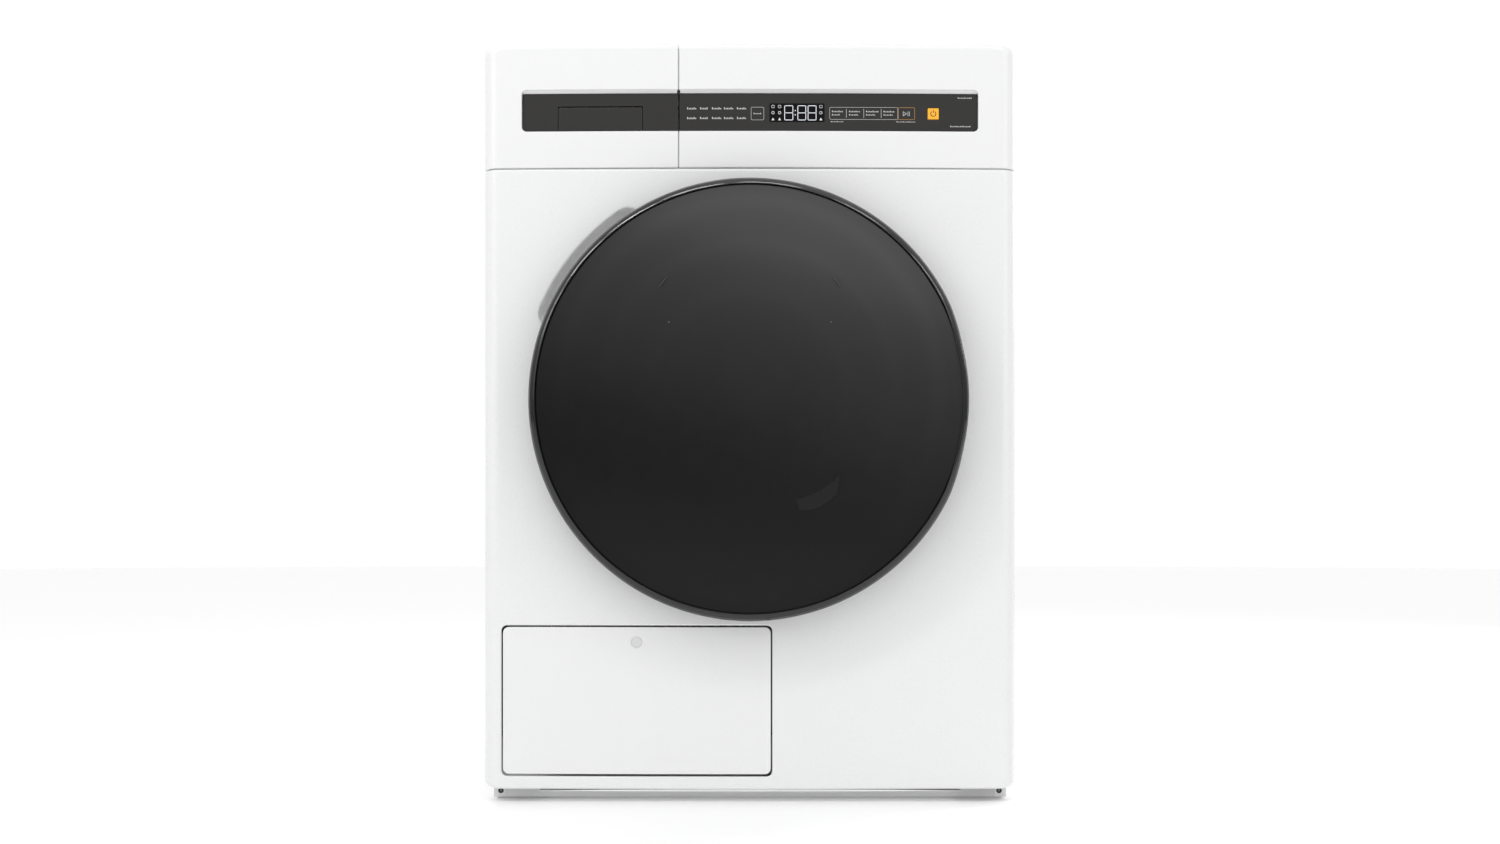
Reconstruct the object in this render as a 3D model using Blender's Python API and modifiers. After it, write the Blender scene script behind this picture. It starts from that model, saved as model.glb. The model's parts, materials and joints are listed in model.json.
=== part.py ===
"""Heat pump clothes dryer, modelled as an assembly of separate pieces.

Units are metres, +Z is up and the front faces -Y. The origin is on the floor, below the middle of the
whole machine. Turned pieces are profiles of (radius, distance along the axis) swept by a Screw modifier.
"""
import math

import bmesh
import bpy
from mathutils import Matrix, Vector

# Clearances.
GAP = 0.0003
SEAM = 0.0006

# Cabinet.
HALF_WIDTH = 0.298
HEIGHT = 0.845
FRONT = -0.2825
CROWN_RADIUS = 7.84
WRAP = 0.036
CORNER_X = 0.018
CORNER_Y = 0.020
SHEET = 0.0010
PANEL_WALL = 0.0015
PANEL_LOW = 0.014
PANEL_HIGH = 0.705
WORKTOP_LOW = 0.8235
WORKTOP_BACK = 0.320
REAR_Y = 0.3155
SIDE_BACK = 0.315

# Base tray and feet.
TRAY_HALF = 0.289
TRAY_FRONT = -0.2525
TRAY_BACK = 0.312
TRAY_LOW = 0.002
TRAY_HIGH = 0.070
TRAY_WALL = 0.003
FLOOR_LOW = 0.020
FLOOR_HIGH = 0.024
FOOT_X = 0.250
FOOT_Y = (-0.222, 0.282)
FOOT_STEM = 0.005

# Control panel and water tank drawer.
DRAWER_SPLIT = -0.0795
FASCIA_LOW = 0.7062
FASCIA_WALL = 0.006
STRIP_HALF = 0.2545
STRIP_LOW = 0.747
STRIP_HIGH = 0.793
STRIP_DEPTH = 0.0045
STRIP_THICK = 0.003
GRIP_X = (-0.214, -0.120)
GRIP_HIGH = 0.775
GRIP_AXIS = (-0.167, -0.2725, 0.7490)
KEY_X = 0.2046
KEY_Z = 0.7675
KEY_HALF = 0.0062
TANK_SECTION = [(-0.288, 0.712), (-0.288, 0.818), (-0.090, 0.818), (-0.090, 0.806), (-0.200, 0.745), (-0.230, 0.712)]
TANK_WALL = 0.0025
TANK_Y = (-0.240, 0.200)
TANK_PORT = (-0.190, 0.790)

# Door and mouth.
DOOR_Z = 0.4458
DOOR_RADIUS = 0.2404
COVER_RADIUS = 0.234
FRAME_RADIUS = 0.2212
MOUTH_Z = 0.462
MOUTH_RADIUS = 0.190
BOWL_RADIUS = 0.158
HINGE_X = 0.222
HINGE_Y = -0.303
HINGE_SWEEP = 0.021
HINGE_LOW = 0.394
HINGE_HIGH = 0.496
PIN_RADIUS = 0.003
HOOK_Z = (0.440, 0.456)
CUP_Z = 0.449
CUP_RADII = (0.222, 0.2536)
CUP_ANGLES = (124.9, 156.6)

# Access flap.
FLAP_X = (-0.2756, 0.0231)
FLAP_Z = (0.0310, 0.1948)
FLAP_SKIN = 0.0025
FLAP_RIM = 0.018
FLAP_AXIS = (-0.126, -0.2785, 0.0345)

# Drum.
DRUM_Z = 0.515
DRUM_RADIUS = 0.285
DRUM_WALL = 0.0012
DRUM_FRONT = -0.196
DRUM_BACK = 0.258
LIFTER_Y = (-0.150, 0.230)
ROLLER_X = 0.2027
ROLLER_Z = 0.2735
ROLLER_RADIUS = 0.030
ROLLER_Y = (-0.190, -0.174)
BULKHEAD_Y = (-0.2055, -0.203)
REAR_BULKHEAD_Y = (0.2868, 0.288)

# Lint filter.
LINT_HALF = 0.0755
LINT_Y = (-0.2405, -0.2215)

# Drive.
MOTOR_X = 0.218
MOTOR_Z = 0.190
SHAFT_RADIUS = 0.0057
PULLEY_RADIUS = 0.008
BELT_Y = (0.145, 0.155)
BELT_THICK = 0.002
IDLER_RADIUS = 0.014

ROUND_STEPS = 48
MACHINE = "clothes_dryer"


# ---------------------------------------------------------------- scene helpers

def clear_scene():
    for obj in list(bpy.data.objects):
        bpy.data.objects.remove(obj, do_unlink=True)


def collection(name):
    found = bpy.data.collections.get(name)
    if found is None:
        found = bpy.data.collections.new(name)
        bpy.context.scene.collection.children.link(found)
    return found


def place(obj, group=MACHINE):
    for owner in list(obj.users_collection):
        owner.objects.unlink(obj)
    collection(group).objects.link(obj)
    return obj


def make_guide(obj):
    """Move a cutter or a joined shape out of the machine's own collection."""
    place(obj, "cutters")
    obj.hide_render = True
    obj.display_type = "WIRE"
    return obj


def paint(obj, colour, roughness, metallic=0.0):
    material = bpy.data.materials.new(obj.name + "_finish")
    material.use_nodes = True
    shader = material.node_tree.nodes["Principled BSDF"]
    shader.inputs["Base Color"].default_value = (*colour, 1.0)
    shader.inputs["Roughness"].default_value = roughness
    shader.inputs["Metallic"].default_value = metallic
    obj.data.materials.append(material)
    return obj


def white_enamel(obj):
    return paint(obj, (0.88, 0.88, 0.88), 0.30)


def white_plastic(obj):
    return paint(obj, (0.86, 0.86, 0.86), 0.38)


def grey_plastic(obj):
    return paint(obj, (0.42, 0.43, 0.44), 0.50)


def black_plastic(obj):
    return paint(obj, (0.030, 0.030, 0.032), 0.45)


def smoked_glass(obj):
    return paint(obj, (0.045, 0.045, 0.047), 0.12)


def clear_glass(obj):
    return paint(obj, (0.60, 0.64, 0.64), 0.08)


def galvanised(obj):
    return paint(obj, (0.56, 0.58, 0.60), 0.42, 0.9)


def steel(obj):
    return paint(obj, (0.66, 0.66, 0.67), 0.28, 1.0)


def rubber(obj):
    return paint(obj, (0.025, 0.025, 0.025), 0.75)


def amber_plastic(obj):
    return paint(obj, (0.98, 0.47, 0.04), 0.35)


def copper(obj):
    return paint(obj, (0.78, 0.40, 0.24), 0.30, 1.0)


def pivot(name, point, *objects):
    """Hang objects from an empty on their joint's axis, where they already are."""
    empty = bpy.data.objects.new(name, None)
    empty.empty_display_size = 0.04
    empty.location = point
    place(empty)
    for obj in objects:
        obj.parent = empty
        obj.matrix_parent_inverse = Matrix.Translation(point).inverted()


# ---------------------------------------------------------------- shape helpers

def mesh_object(name, bm):
    mesh = bpy.data.meshes.new(name)
    bm.to_mesh(mesh)
    bm.free()
    return place(bpy.data.objects.new(name, mesh))


def box(name, low, high, bevel=0.0):
    bm = bmesh.new()
    bmesh.ops.create_cube(bm, size=1.0)
    bmesh.ops.scale(bm, vec=[b - a for a, b in zip(low, high)], verts=bm.verts)
    obj = mesh_object(name, bm)
    obj.location = [(a + b) / 2 for a, b in zip(low, high)]
    if bevel:
        rounding = obj.modifiers.new("rounding", "BEVEL")
        rounding.width = bevel
        rounding.segments = 3
    return obj


def axis_turn(axis):
    """Rotation that takes local +Z to the named world axis."""
    return {"X": (0, math.pi / 2, 0), "Y": (-math.pi / 2, 0, 0), "Z": (0, 0, 0)}[axis]


def rod(name, centre, radius, length, axis, segments=24):
    bm = bmesh.new()
    bmesh.ops.create_cone(bm, cap_ends=True, segments=segments, radius1=radius, radius2=radius, depth=length)
    obj = mesh_object(name, bm)
    obj.rotation_euler = axis_turn(axis)
    obj.location = centre
    obj.data.shade_smooth()
    obj.data.set_sharp_from_angle(angle=math.radians(40))
    return obj


def turned(name, profile, x, z, steps=ROUND_STEPS, axis="Y"):
    """Turn a profile of (radius, distance along the axis) that runs down its outer side."""
    mesh = bpy.data.meshes.new(name)
    ring = len(profile)
    closed = profile[0][0] > 0 or profile[-1][0] > 0
    edges = [(i, (i + 1) % ring) for i in range(ring if closed else ring - 1)]
    mesh.from_pydata([(radius, 0.0, along) for radius, along in profile], edges, [])
    obj = place(bpy.data.objects.new(name, mesh))
    obj.rotation_euler = axis_turn(axis)
    obj.location = (x, z, 0.0) if axis == "Z" else (x, 0.0, z)
    screw = obj.modifiers.new("turn", "SCREW")
    screw.axis = "Z"
    screw.steps = steps
    screw.render_steps = steps
    screw.use_merge_vertices = True
    screw.merge_threshold = 0.00002
    screw.use_smooth_shade = False
    return obj


def ring_profile(inner, outer, low, high):
    return [(outer, high), (outer, low), (inner, low), (inner, high)]


def arc(x, z, radius, start, end, steps):
    """Points on an arc, angles in degrees counterclockwise from +X, both ends included."""
    turns = [math.radians(start + (end - start) * i / steps) for i in range(steps + 1)]
    return [(x + radius * math.cos(t), z + radius * math.sin(t)) for t in turns]


def circle(x, z, radius, steps=ROUND_STEPS):
    return arc(x, z, radius, 0, 360, steps)[:-1]


def rounded_rect(x0, z0, x1, z1, radius, steps=4):
    points = []
    for x, z, start in ((x1, z1, 0), (x0, z1, 90), (x0, z0, 180), (x1, z0, 270)):
        inward_x = x - radius if x == x1 else x + radius
        inward_z = z - radius if z == z1 else z + radius
        points += arc(inward_x, inward_z, radius, start, start + 90, steps)
    return points


def as_mesh(obj):
    """Turn a curve object into a mesh object with its caps welded."""
    bpy.context.view_layer.update()
    depsgraph = bpy.context.evaluated_depsgraph_get()
    mesh = bpy.data.meshes.new_from_object(obj.evaluated_get(depsgraph))
    bm = bmesh.new()
    bm.from_mesh(mesh)
    bmesh.ops.remove_doubles(bm, verts=bm.verts, dist=0.00001)
    bmesh.ops.recalc_face_normals(bm, faces=bm.faces)
    bm.to_mesh(mesh)
    bm.free()
    name = obj.name
    world = obj.matrix_world.copy()
    bpy.data.objects.remove(obj, do_unlink=True)
    solid = place(bpy.data.objects.new(name, mesh))
    solid.matrix_world = world
    mesh.name = name
    mesh.shade_smooth()
    mesh.set_sharp_from_angle(angle=math.radians(30))
    return solid


def plate(name, outlines, plane, low, high):
    """A flat outline, with any holes after it, thick from low to high across its plane."""
    curve = bpy.data.curves.new(name, "CURVE")
    curve.dimensions = "2D"
    curve.fill_mode = "BOTH"
    curve.extrude = (high - low) / 2
    for outline in outlines:
        spline = curve.splines.new("POLY")
        spline.points.add(len(outline) - 1)
        spline.use_cyclic_u = True
        for point, (u, v) in zip(spline.points, outline):
            point.co = (u, v, 0.0, 1.0)
    obj = place(bpy.data.objects.new(name, curve))
    middle = (low + high) / 2
    if plane == "XZ":
        obj.rotation_euler = (math.pi / 2, 0, 0)
        obj.location = (0, middle, 0)
    elif plane == "XY":
        obj.location = (0, 0, middle)
    return as_mesh(obj)


def tube(name, points, radius, resolution=2):
    curve = bpy.data.curves.new(name, "CURVE")
    curve.dimensions = "3D"
    curve.bevel_depth = radius
    curve.bevel_resolution = resolution
    curve.use_fill_caps = True
    spline = curve.splines.new("POLY")
    spline.points.add(len(points) - 1)
    for point, co in zip(spline.points, points):
        point.co = (*co, 1.0)
    return as_mesh(place(bpy.data.objects.new(name, curve)))


def smooth_route(knots, per_span):
    """Points of a smooth curve through the knots."""
    ends = [2 * Vector(knots[0]) - Vector(knots[1])] + [Vector(k) for k in knots]
    ends.append(2 * Vector(knots[-1]) - Vector(knots[-2]))
    points = []
    for a, b, c, d in zip(ends, ends[1:], ends[2:], ends[3:]):
        for i in range(per_span):
            t = i / per_span
            points.append(0.5 * (2 * b + (c - a) * t + (2 * a - 5 * b + 4 * c - d) * t * t
                                 + (3 * b - a - 3 * c + d) * t ** 3))
    points.append(Vector(knots[-1]))
    return [tuple(p) for p in points]


def combine(target, operation, others):
    for other in others:
        modifier = target.modifiers.new(operation.lower(), "BOOLEAN")
        modifier.operation = operation
        modifier.object = make_guide(other)
    return target


def cut(target, *cutters):
    return combine(target, "DIFFERENCE", cutters)


def join(target, *others):
    return combine(target, "UNION", others)


def inset_polygon(points, distance):
    """Move each side of a polygon inwards; the points run clockwise seen from the front."""
    moved = []
    count = len(points)
    for i in range(count):
        before, here, after = (Vector(points[(i + k) % count]) for k in (-1, 0, 1))
        first = (here - before).normalized()
        second = (after - here).normalized()
        normal_a = Vector((first.y, -first.x))
        normal_b = Vector((second.y, -second.x))
        mitre = (normal_a + normal_b).normalized()
        moved.append(tuple(here + mitre * (distance / mitre.dot(normal_a))))
    return moved


# ---------------------------------------------------------------- the crowned front

def crown_y(x):
    """The slightly bowed front face, seen from above."""
    return FRONT + CROWN_RADIUS - math.sqrt(CROWN_RADIUS ** 2 - x * x)


def skin_path(inset, x_from, x_to, steps=10):
    """Plan path of the front skin, from left to right, inset from the outer face.

    A limit at or past the half width takes in that side's rounded corner and its return."""
    flat = HALF_WIDTH - CORNER_X
    centre_y = crown_y(flat) + CORNER_Y
    radii = (CORNER_X - inset, CORNER_Y - inset)
    corner = [(flat + radii[0] * math.cos(t), centre_y - radii[1] * math.sin(t))
              for t in (math.radians(18 * i) for i in range(5))]
    wrap_end = (HALF_WIDTH - inset, FRONT + WRAP)
    left = [(-x, y) for x, y in [wrap_end] + corner] if x_from <= -HALF_WIDTH else []
    right = list(reversed([wrap_end] + corner)) if x_to >= HALF_WIDTH else []
    start = max(x_from, -flat)
    end = min(x_to, flat)
    middle = [(start + (end - start) * i / steps, 0) for i in range(steps + 1)]
    return left + [(x, crown_y(x) + inset) for x, _ in middle] + right


def band_outline(x_from, x_to, front, back, steps=10):
    """Plan outline of a strip that follows the crown, front and back being depths behind it."""
    xs = [x_from + (x_to - x_from) * i / steps for i in range(steps + 1)]
    return [(x, crown_y(x) + front) for x in xs] + [(x, crown_y(x) + back) for x in reversed(xs)]


def arc_band(inner, outer, start, end, steps=10):
    """A band along an arc about the door's middle, with rounded ends."""
    middle = (inner + outer) / 2
    half = (outer - inner) / 2
    first, last = (math.radians(a) for a in (start, end))
    cap_a = arc(middle * math.cos(last), CUP_Z + middle * math.sin(last), half, end, end + 180, 6)
    cap_b = arc(middle * math.cos(first), CUP_Z + middle * math.sin(first), half, start + 180, start + 360, 6)
    return (arc(0, CUP_Z, outer, start, end, steps)[:-1] + cap_a[:-1]
            + arc(0, CUP_Z, inner, end, start, steps)[:-1] + cap_b[:-1])


# ---------------------------------------------------------------- cabinet

def base_tray():
    tray = box("base_tray", (-TRAY_HALF, TRAY_FRONT, TRAY_LOW), (TRAY_HALF, TRAY_BACK, TRAY_HIGH))
    inner = TRAY_HALF - TRAY_WALL
    ends = (TRAY_FRONT + TRAY_WALL, TRAY_BACK - TRAY_WALL)
    upper = box("tray_well", (-inner, ends[0], FLOOR_HIGH), (inner, ends[1], TRAY_HIGH + 0.01))
    lower = box("tray_underside", (-inner, ends[0], TRAY_LOW - 0.01), (inner, ends[1], FLOOR_LOW))
    cut(tray, upper, lower)
    for side in (-1, 1):
        cut(tray, rod("plinth_screw_hole", (side * 0.281, TRAY_FRONT, 0.009), 0.0017, 0.02, "Y", 12))
        for y in FOOT_Y:
            cut(tray, rod("foot_hole", (side * FOOT_X, y, 0.022), FOOT_STEM + 0.0004, 0.02, "Z", 16))
    return galvanised(tray)


def feet():
    for side, hand in ((-1, "left"), (1, "right")):
        for y, end in zip(FOOT_Y, ("front", "rear")):
            profile = [(0, 0.046), (FOOT_STEM, 0.046), (FOOT_STEM, 0.012), (0.017, 0.009), (0.019, 0.005),
                       (0.018, 0.0), (0, 0.0)]
            foot = turned(f"foot_{end}_{hand}", profile, side * FOOT_X, y, 16, "Z")
            rubber(foot)
            pivot(f"foot_{end}_{hand}_axis", (side * FOOT_X, y, 0.0), foot)


def side_panel(side, hand):
    outer = HALF_WIDTH
    inner = HALF_WIDTH - SHEET
    start = FRONT + WRAP + GAP
    outline = [(outer, start), (outer, SIDE_BACK), (0.284, SIDE_BACK), (0.284, SIDE_BACK - SHEET),
               (inner, SIDE_BACK - SHEET), (inner, start + SHEET), (0.2895, start + SHEET), (0.2895, start)]
    panel = plate("side_panel_" + hand, [[(side * x, y) for x, y in outline]], "XY", 0.012, WORKTOP_LOW - SEAM)
    return white_enamel(panel)


def rear_panel():
    panel = box("rear_panel", (-0.2955, REAR_Y, 0.015), (0.2955, REAR_Y + SHEET, WORKTOP_LOW - 0.001))
    for column in (-0.20, -0.11):
        for row in range(6):
            z = 0.075 + 0.016 * row
            cut(panel, box("vent_slot", (column - 0.035, REAR_Y - 0.01, z), (column + 0.035, REAR_Y + 0.01, z + 0.005)))
    return galvanised(panel)


def rear_service_cover():
    outer = 0.3275
    seat = REAR_Y + SHEET + GAP
    profile = [(0, outer), (0.205, outer), (0.215, seat + SHEET), (0.250, seat + SHEET), (0.250, seat),
               (0.2138, seat), (0.2042, outer - SHEET), (0, outer - SHEET)]
    return galvanised(turned("rear_service_cover", profile, 0, DRUM_Z, 40))


def worktop():
    start = FRONT + WRAP + GAP
    return white_enamel(box("worktop", (-HALF_WIDTH, start, WORKTOP_LOW), (HALF_WIDTH, WORKTOP_BACK, HEIGHT), 0.003))


def front_panel():
    outline = skin_path(0, -HALF_WIDTH, HALF_WIDTH, 20) + skin_path(PANEL_WALL, -HALF_WIDTH, HALF_WIDTH, 20)[::-1]
    panel = plate("front_panel", [outline], "XY", PANEL_LOW, PANEL_HIGH)
    mouth = rod("mouth_hole", (0, FRONT, MOUTH_Z), MOUTH_RADIUS + 0.0025, 0.05, "Y", ROUND_STEPS)
    opening = rounded_rect(FLAP_X[0] - 0.0016, FLAP_Z[0] - 0.0025, FLAP_X[1] + 0.0016, FLAP_Z[1] + 0.0016, 0.005)
    flap_hole = plate("flap_hole", [opening], "XZ", FRONT - 0.01, FRONT + 0.02)
    grip_hole = plate("grip_hole", [arc_band(*CUP_RADII, *CUP_ANGLES)], "XZ", FRONT - 0.01, FRONT + 0.02)
    hook_slot = box("hook_slot", (-0.2195, FRONT - 0.01, 0.436), (-0.2025, FRONT + 0.02, 0.460))
    return white_enamel(cut(panel, mouth, flap_hole, grip_hole, hook_slot))


def handle_cup():
    wall = 0.0025
    turn = math.degrees(wall / CUP_RADII[0]) * 0.2
    shell = arc_band(CUP_RADII[0] - wall, CUP_RADII[1] + wall, CUP_ANGLES[0] - turn, CUP_ANGLES[1] + turn)
    cup = plate("handle_cup", [shell], "XZ", -0.2768, -0.2540)
    pocket = plate("cup_pocket", [arc_band(*CUP_RADII, *CUP_ANGLES)], "XZ", -0.29, -0.2565)
    return white_plastic(cut(cup, pocket))


# ---------------------------------------------------------------- controls and water tank

def moulding(name, x_from, x_to):
    """A hollow front moulding with a flat top, open below and behind, with the strip's window in it."""
    outer = skin_path(0, x_from, x_to)
    if x_from > -HALF_WIDTH:
        outer = [(x_from, FRONT + WRAP)] + outer
    if x_to < HALF_WIDTH:
        outer = outer + [(x_to, FRONT + WRAP)]
    solid = plate(name, [outer], "XY", FASCIA_LOW, HEIGHT)
    round_top_edge(solid, 0.0065)
    inner_from = x_from if x_from <= -HALF_WIDTH else x_from + 0.003
    inner_to = x_to if x_to >= HALF_WIDTH else x_to - 0.003
    path = skin_path(FASCIA_WALL, inner_from, inner_to)
    back = FRONT + WRAP + 0.01
    hollow = plate(name + "_hollow", [[(path[0][0], back)] + path + [(path[-1][0], back)]], "XY", 0.69, HEIGHT - 0.003)
    cut(solid, hollow)
    low = -STRIP_HALF if x_from <= -HALF_WIDTH else x_from - 0.01
    high = STRIP_HALF if x_to >= HALF_WIDTH else x_to + 0.01
    window = box(name + "_window", (low, FRONT - 0.01, STRIP_LOW), (high, FRONT + 0.0135, STRIP_HIGH))
    return cut(solid, window)


def round_top_edge(obj, width):
    """Round the front edge of a moulding's top."""
    weights = obj.data.attributes.new("bevel_weight_edge", "FLOAT", "EDGE")
    world = obj.matrix_world
    for edge in obj.data.edges:
        ends = [world @ obj.data.vertices[i].co for i in edge.vertices]
        on_top = all(abs(p.z - HEIGHT) < 0.0001 for p in ends)
        on_front = all(p.y < FRONT + WRAP - 0.0001 for p in ends) or abs(ends[0].x - ends[1].x) < 0.0001
        outside = all(abs(p.x) > 0.09 or p.y < FRONT + 0.001 for p in ends)
        weights.data[edge.index].value = float(on_top and on_front and outside)
    rounding = obj.modifiers.new("top_edge", "BEVEL")
    rounding.limit_method = "WEIGHT"
    rounding.width = width
    rounding.segments = 3


def control_fascia():
    return white_plastic(moulding("control_fascia", DRAWER_SPLIT + SEAM, HALF_WIDTH))


def strip_piece(name, x_from, x_to, low, high):
    return plate(name, [band_outline(x_from, x_to, STRIP_DEPTH, STRIP_DEPTH + STRIP_THICK)], "XY", low, high)


def control_glass():
    glass = strip_piece("control_glass", DRAWER_SPLIT + SEAM, STRIP_HALF - 0.0005, STRIP_LOW + 0.0005,
                        STRIP_HIGH - 0.0005)
    half = KEY_HALF + 0.0004
    key_hole = box("key_hole", (KEY_X - half, FRONT, KEY_Z - half), (KEY_X + half, FRONT + 0.02, KEY_Z + half))
    return smoked_glass(cut(glass, key_hole))


def display_module():
    board = box("display_module", (-0.060, -0.2632, 0.735), (0.250, -0.2616, 0.806))
    lamp = box("display_lamp_house", (0.0215, -0.2738, 0.757), (0.083, -0.2625, 0.7845))
    relay = box("board_relay", (-0.045, -0.2620, 0.745), (-0.020, -0.2490, 0.775))
    return black_plastic(join(board, lamp, relay))


def power_button():
    face = crown_y(KEY_X) + STRIP_DEPTH - 0.0002
    key = box("power_button", (KEY_X - KEY_HALF, face, KEY_Z - KEY_HALF), (KEY_X + KEY_HALF, -0.268, KEY_Z + KEY_HALF),
              0.0006)
    pivot("power_button_axis", (KEY_X, face, KEY_Z), key)
    return amber_plastic(key)


def tank_drawer():
    front = white_plastic(moulding("tank_front", -HALF_WIDTH, DRAWER_SPLIT - SEAM))
    band = strip_piece("tank_band", -STRIP_HALF + 0.0005, DRAWER_SPLIT - SEAM, STRIP_LOW + 0.0005, STRIP_HIGH - 0.0005)
    notch = box("grip_notch", (GRIP_X[0] - 0.0004, FRONT - 0.01, STRIP_LOW - 0.01),
                (GRIP_X[1] + 0.0004, FRONT + 0.03, GRIP_HIGH + 0.0007))
    smoked_glass(cut(band, notch))
    tank = water_tank()
    flap = strip_piece("grip_flap", GRIP_X[0], GRIP_X[1], STRIP_LOW + 0.0009, GRIP_HIGH - 0.0005)
    smoked_glass(flap)
    pivot("tank_slide", (-0.19, FRONT, 0.77), front, band, tank)
    pivot("grip_flap_axis", GRIP_AXIS, flap)


def water_tank():
    tank = plate("water_tank", [TANK_SECTION], "XZ", *TANK_Y)
    hollow = plate("tank_hollow", [inset_polygon(TANK_SECTION, TANK_WALL)], "XZ",
                   TANK_Y[0] + TANK_WALL, TANK_Y[1] - TANK_WALL)
    spout = box("tank_spout", (-0.250, 0.110, 0.80), (-0.160, 0.170, 0.83))
    port = rod("tank_port", (TANK_PORT[0], TANK_Y[1], TANK_PORT[1]), 0.009, 0.02, "Y", 16)
    return grey_plastic(cut(tank, hollow, spout, port))


def tank_cradle():
    near = inset_polygon(TANK_SECTION, -0.0008)
    far = inset_polygon(TANK_SECTION, -0.0028)
    lip = 0.800
    outline = [(far[0][0], lip), far[0], far[5], far[4], far[3], near[3], near[4], near[5], near[0], (near[0][0], lip)]
    return white_plastic(plate("tank_cradle", [outline], "XZ", -0.236, 0.198))


# ---------------------------------------------------------------- door

def hinge_clearance(name, chord):
    """The space round the hinge axis that the fixed bracket needs, flat towards the door's front."""
    start = math.degrees(math.asin((chord - HINGE_Y) / HINGE_SWEEP))
    outline = arc(HINGE_X, HINGE_Y, HINGE_SWEEP, start, 180 - start, 20)
    return plate(name, [outline], "XY", HINGE_LOW, HINGE_HIGH)


def door_ring():
    profile = [(0.236, -0.290), (0.2392, -0.300), (DOOR_RADIUS, -0.3115), (0.2387, -0.3185), (0.2362, -0.322),
               (0.2345, -0.322), (0.2345, -0.3175), (0.222, -0.3175), (0.222, -0.290)]
    ring = turned("door_ring", profile, 0, DOOR_Z)
    return black_plastic(cut(ring, hinge_clearance("ring_hinge_space", -0.3160)))


def dome(radius, crest, edge, steps=3):
    """Profile points of a shallow dome, from its middle to its edge."""
    return [(radius * i / steps, crest + (edge - crest) * (i / steps) ** 2) for i in range(steps + 1)]


def door_cover():
    front = dome(COVER_RADIUS, -0.3275, -0.3215)
    back = dome(COVER_RADIUS, -0.3243, -0.3183)
    return smoked_glass(turned("door_cover", back + front[::-1], 0, DOOR_Z))


def door_inner_frame():
    holes = [circle(0, DOOR_Z, FRAME_RADIUS), circle(0, MOUTH_Z, BOWL_RADIUS + 0.0015)]
    frame = plate("door_inner_frame", holes, "XZ", -0.300, -0.288)
    return grey_plastic(cut(frame, hinge_clearance("frame_hinge_space", -0.3230)))


def door_bowl():
    glass = 0.004
    profile = [(0, -0.250), (0.118, -0.2515), (0.140, -0.258), (BOWL_RADIUS - 0.002, -0.3003), (0.168, -0.3003),
               (0.168, -0.3045), (0.150, -0.3045), (0.137, -0.262), (0.117, -0.2515 - glass), (0, -0.250 - glass)]
    return clear_glass(turned("door_bowl", profile, 0, MOUTH_Z, ROUND_STEPS))


def door_hinge_leaf():
    middle = (HINGE_LOW + HINGE_HIGH) / 2
    barrel = turned("door_hinge_leaf", ring_profile(PIN_RADIUS + 0.0003, 0.0078, 0.4045, 0.4855), HINGE_X, HINGE_Y,
                    24, "Z")
    arm = box("hinge_arm", (0.172, -0.3052, middle - 0.035), (0.217, -0.3008, middle + 0.035))
    return steel(join(barrel, arm))


def door_hook():
    outline = [(-0.216, -0.2877), (-0.210, -0.2877), (-0.210, -0.2735), (-0.2055, -0.2715), (-0.2075, -0.2665),
               (-0.216, -0.2665)]
    return steel(plate("door_hook", [outline], "XY", *HOOK_Z))


def door():
    pieces = [door_ring(), door_cover(), door_inner_frame(), door_bowl(), door_hinge_leaf(), door_hook()]
    pivot("door_axis", (HINGE_X, HINGE_Y, DOOR_Z), *pieces)


def hinge_bracket():
    half = 0.0045
    bracket = box("hinge_bracket", (0.206, -0.2817, 0.392), (0.238, -0.2801, 0.498))
    for low in (0.398, 0.486):
        join(bracket, box("hinge_ear", (HINGE_X - half, HINGE_Y, low), (HINGE_X + half, -0.281, low + 0.006)))
        join(bracket, rod("hinge_eye", (HINGE_X, HINGE_Y, low + 0.003), half + 0.0002, 0.006, "Z", 20))
    pin = rod("hinge_pin", (HINGE_X, HINGE_Y, 0.445), PIN_RADIUS, 0.096, "Z", 20)
    return steel(join(bracket, pin))


def door_lock():
    lock = box("door_lock", (-0.2445, -0.2765, 0.418), (-0.1985, -0.247, 0.478))
    slot = box("lock_slot", (-0.2195, -0.285, 0.436), (-0.2025, -0.260, 0.460))
    return grey_plastic(cut(lock, slot))


def door_seal():
    profile = [(0.1892, -0.262), (0.1892, -0.2850), (0.1865, -0.2876), (0.1835, -0.2876), (0.1805, -0.2850),
               (0.1805, -0.262)]
    return rubber(turned("door_seal", profile, 0, MOUTH_Z))


# ---------------------------------------------------------------- lint filter and bulkheads

def front_bulkhead():
    half = 0.2835
    outline = arc(0, DRUM_Z, half, 0, 180, 40) + [(-half, 0.218), (half, 0.218)]
    bulkhead = plate("front_bulkhead", [outline, circle(0, MOUTH_Z, MOUTH_RADIUS + 0.002)], "XZ", *BULKHEAD_Y)
    throat = turned("mouth_throat", ring_profile(MOUTH_RADIUS, MOUTH_RADIUS + 0.004, -0.278, -0.199), 0, MOUTH_Z)
    join(bulkhead, throat)
    for side in (-1, 1):
        join(bulkhead, rod("roller_axle", (side * ROLLER_X, -0.187, ROLLER_Z), 0.006, 0.036, "Y", 16))
    slot = box("lint_slot", (-LINT_HALF, LINT_Y[0], 0.25), (LINT_HALF, LINT_Y[1], 0.30))
    return galvanised(cut(bulkhead, slot))


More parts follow.
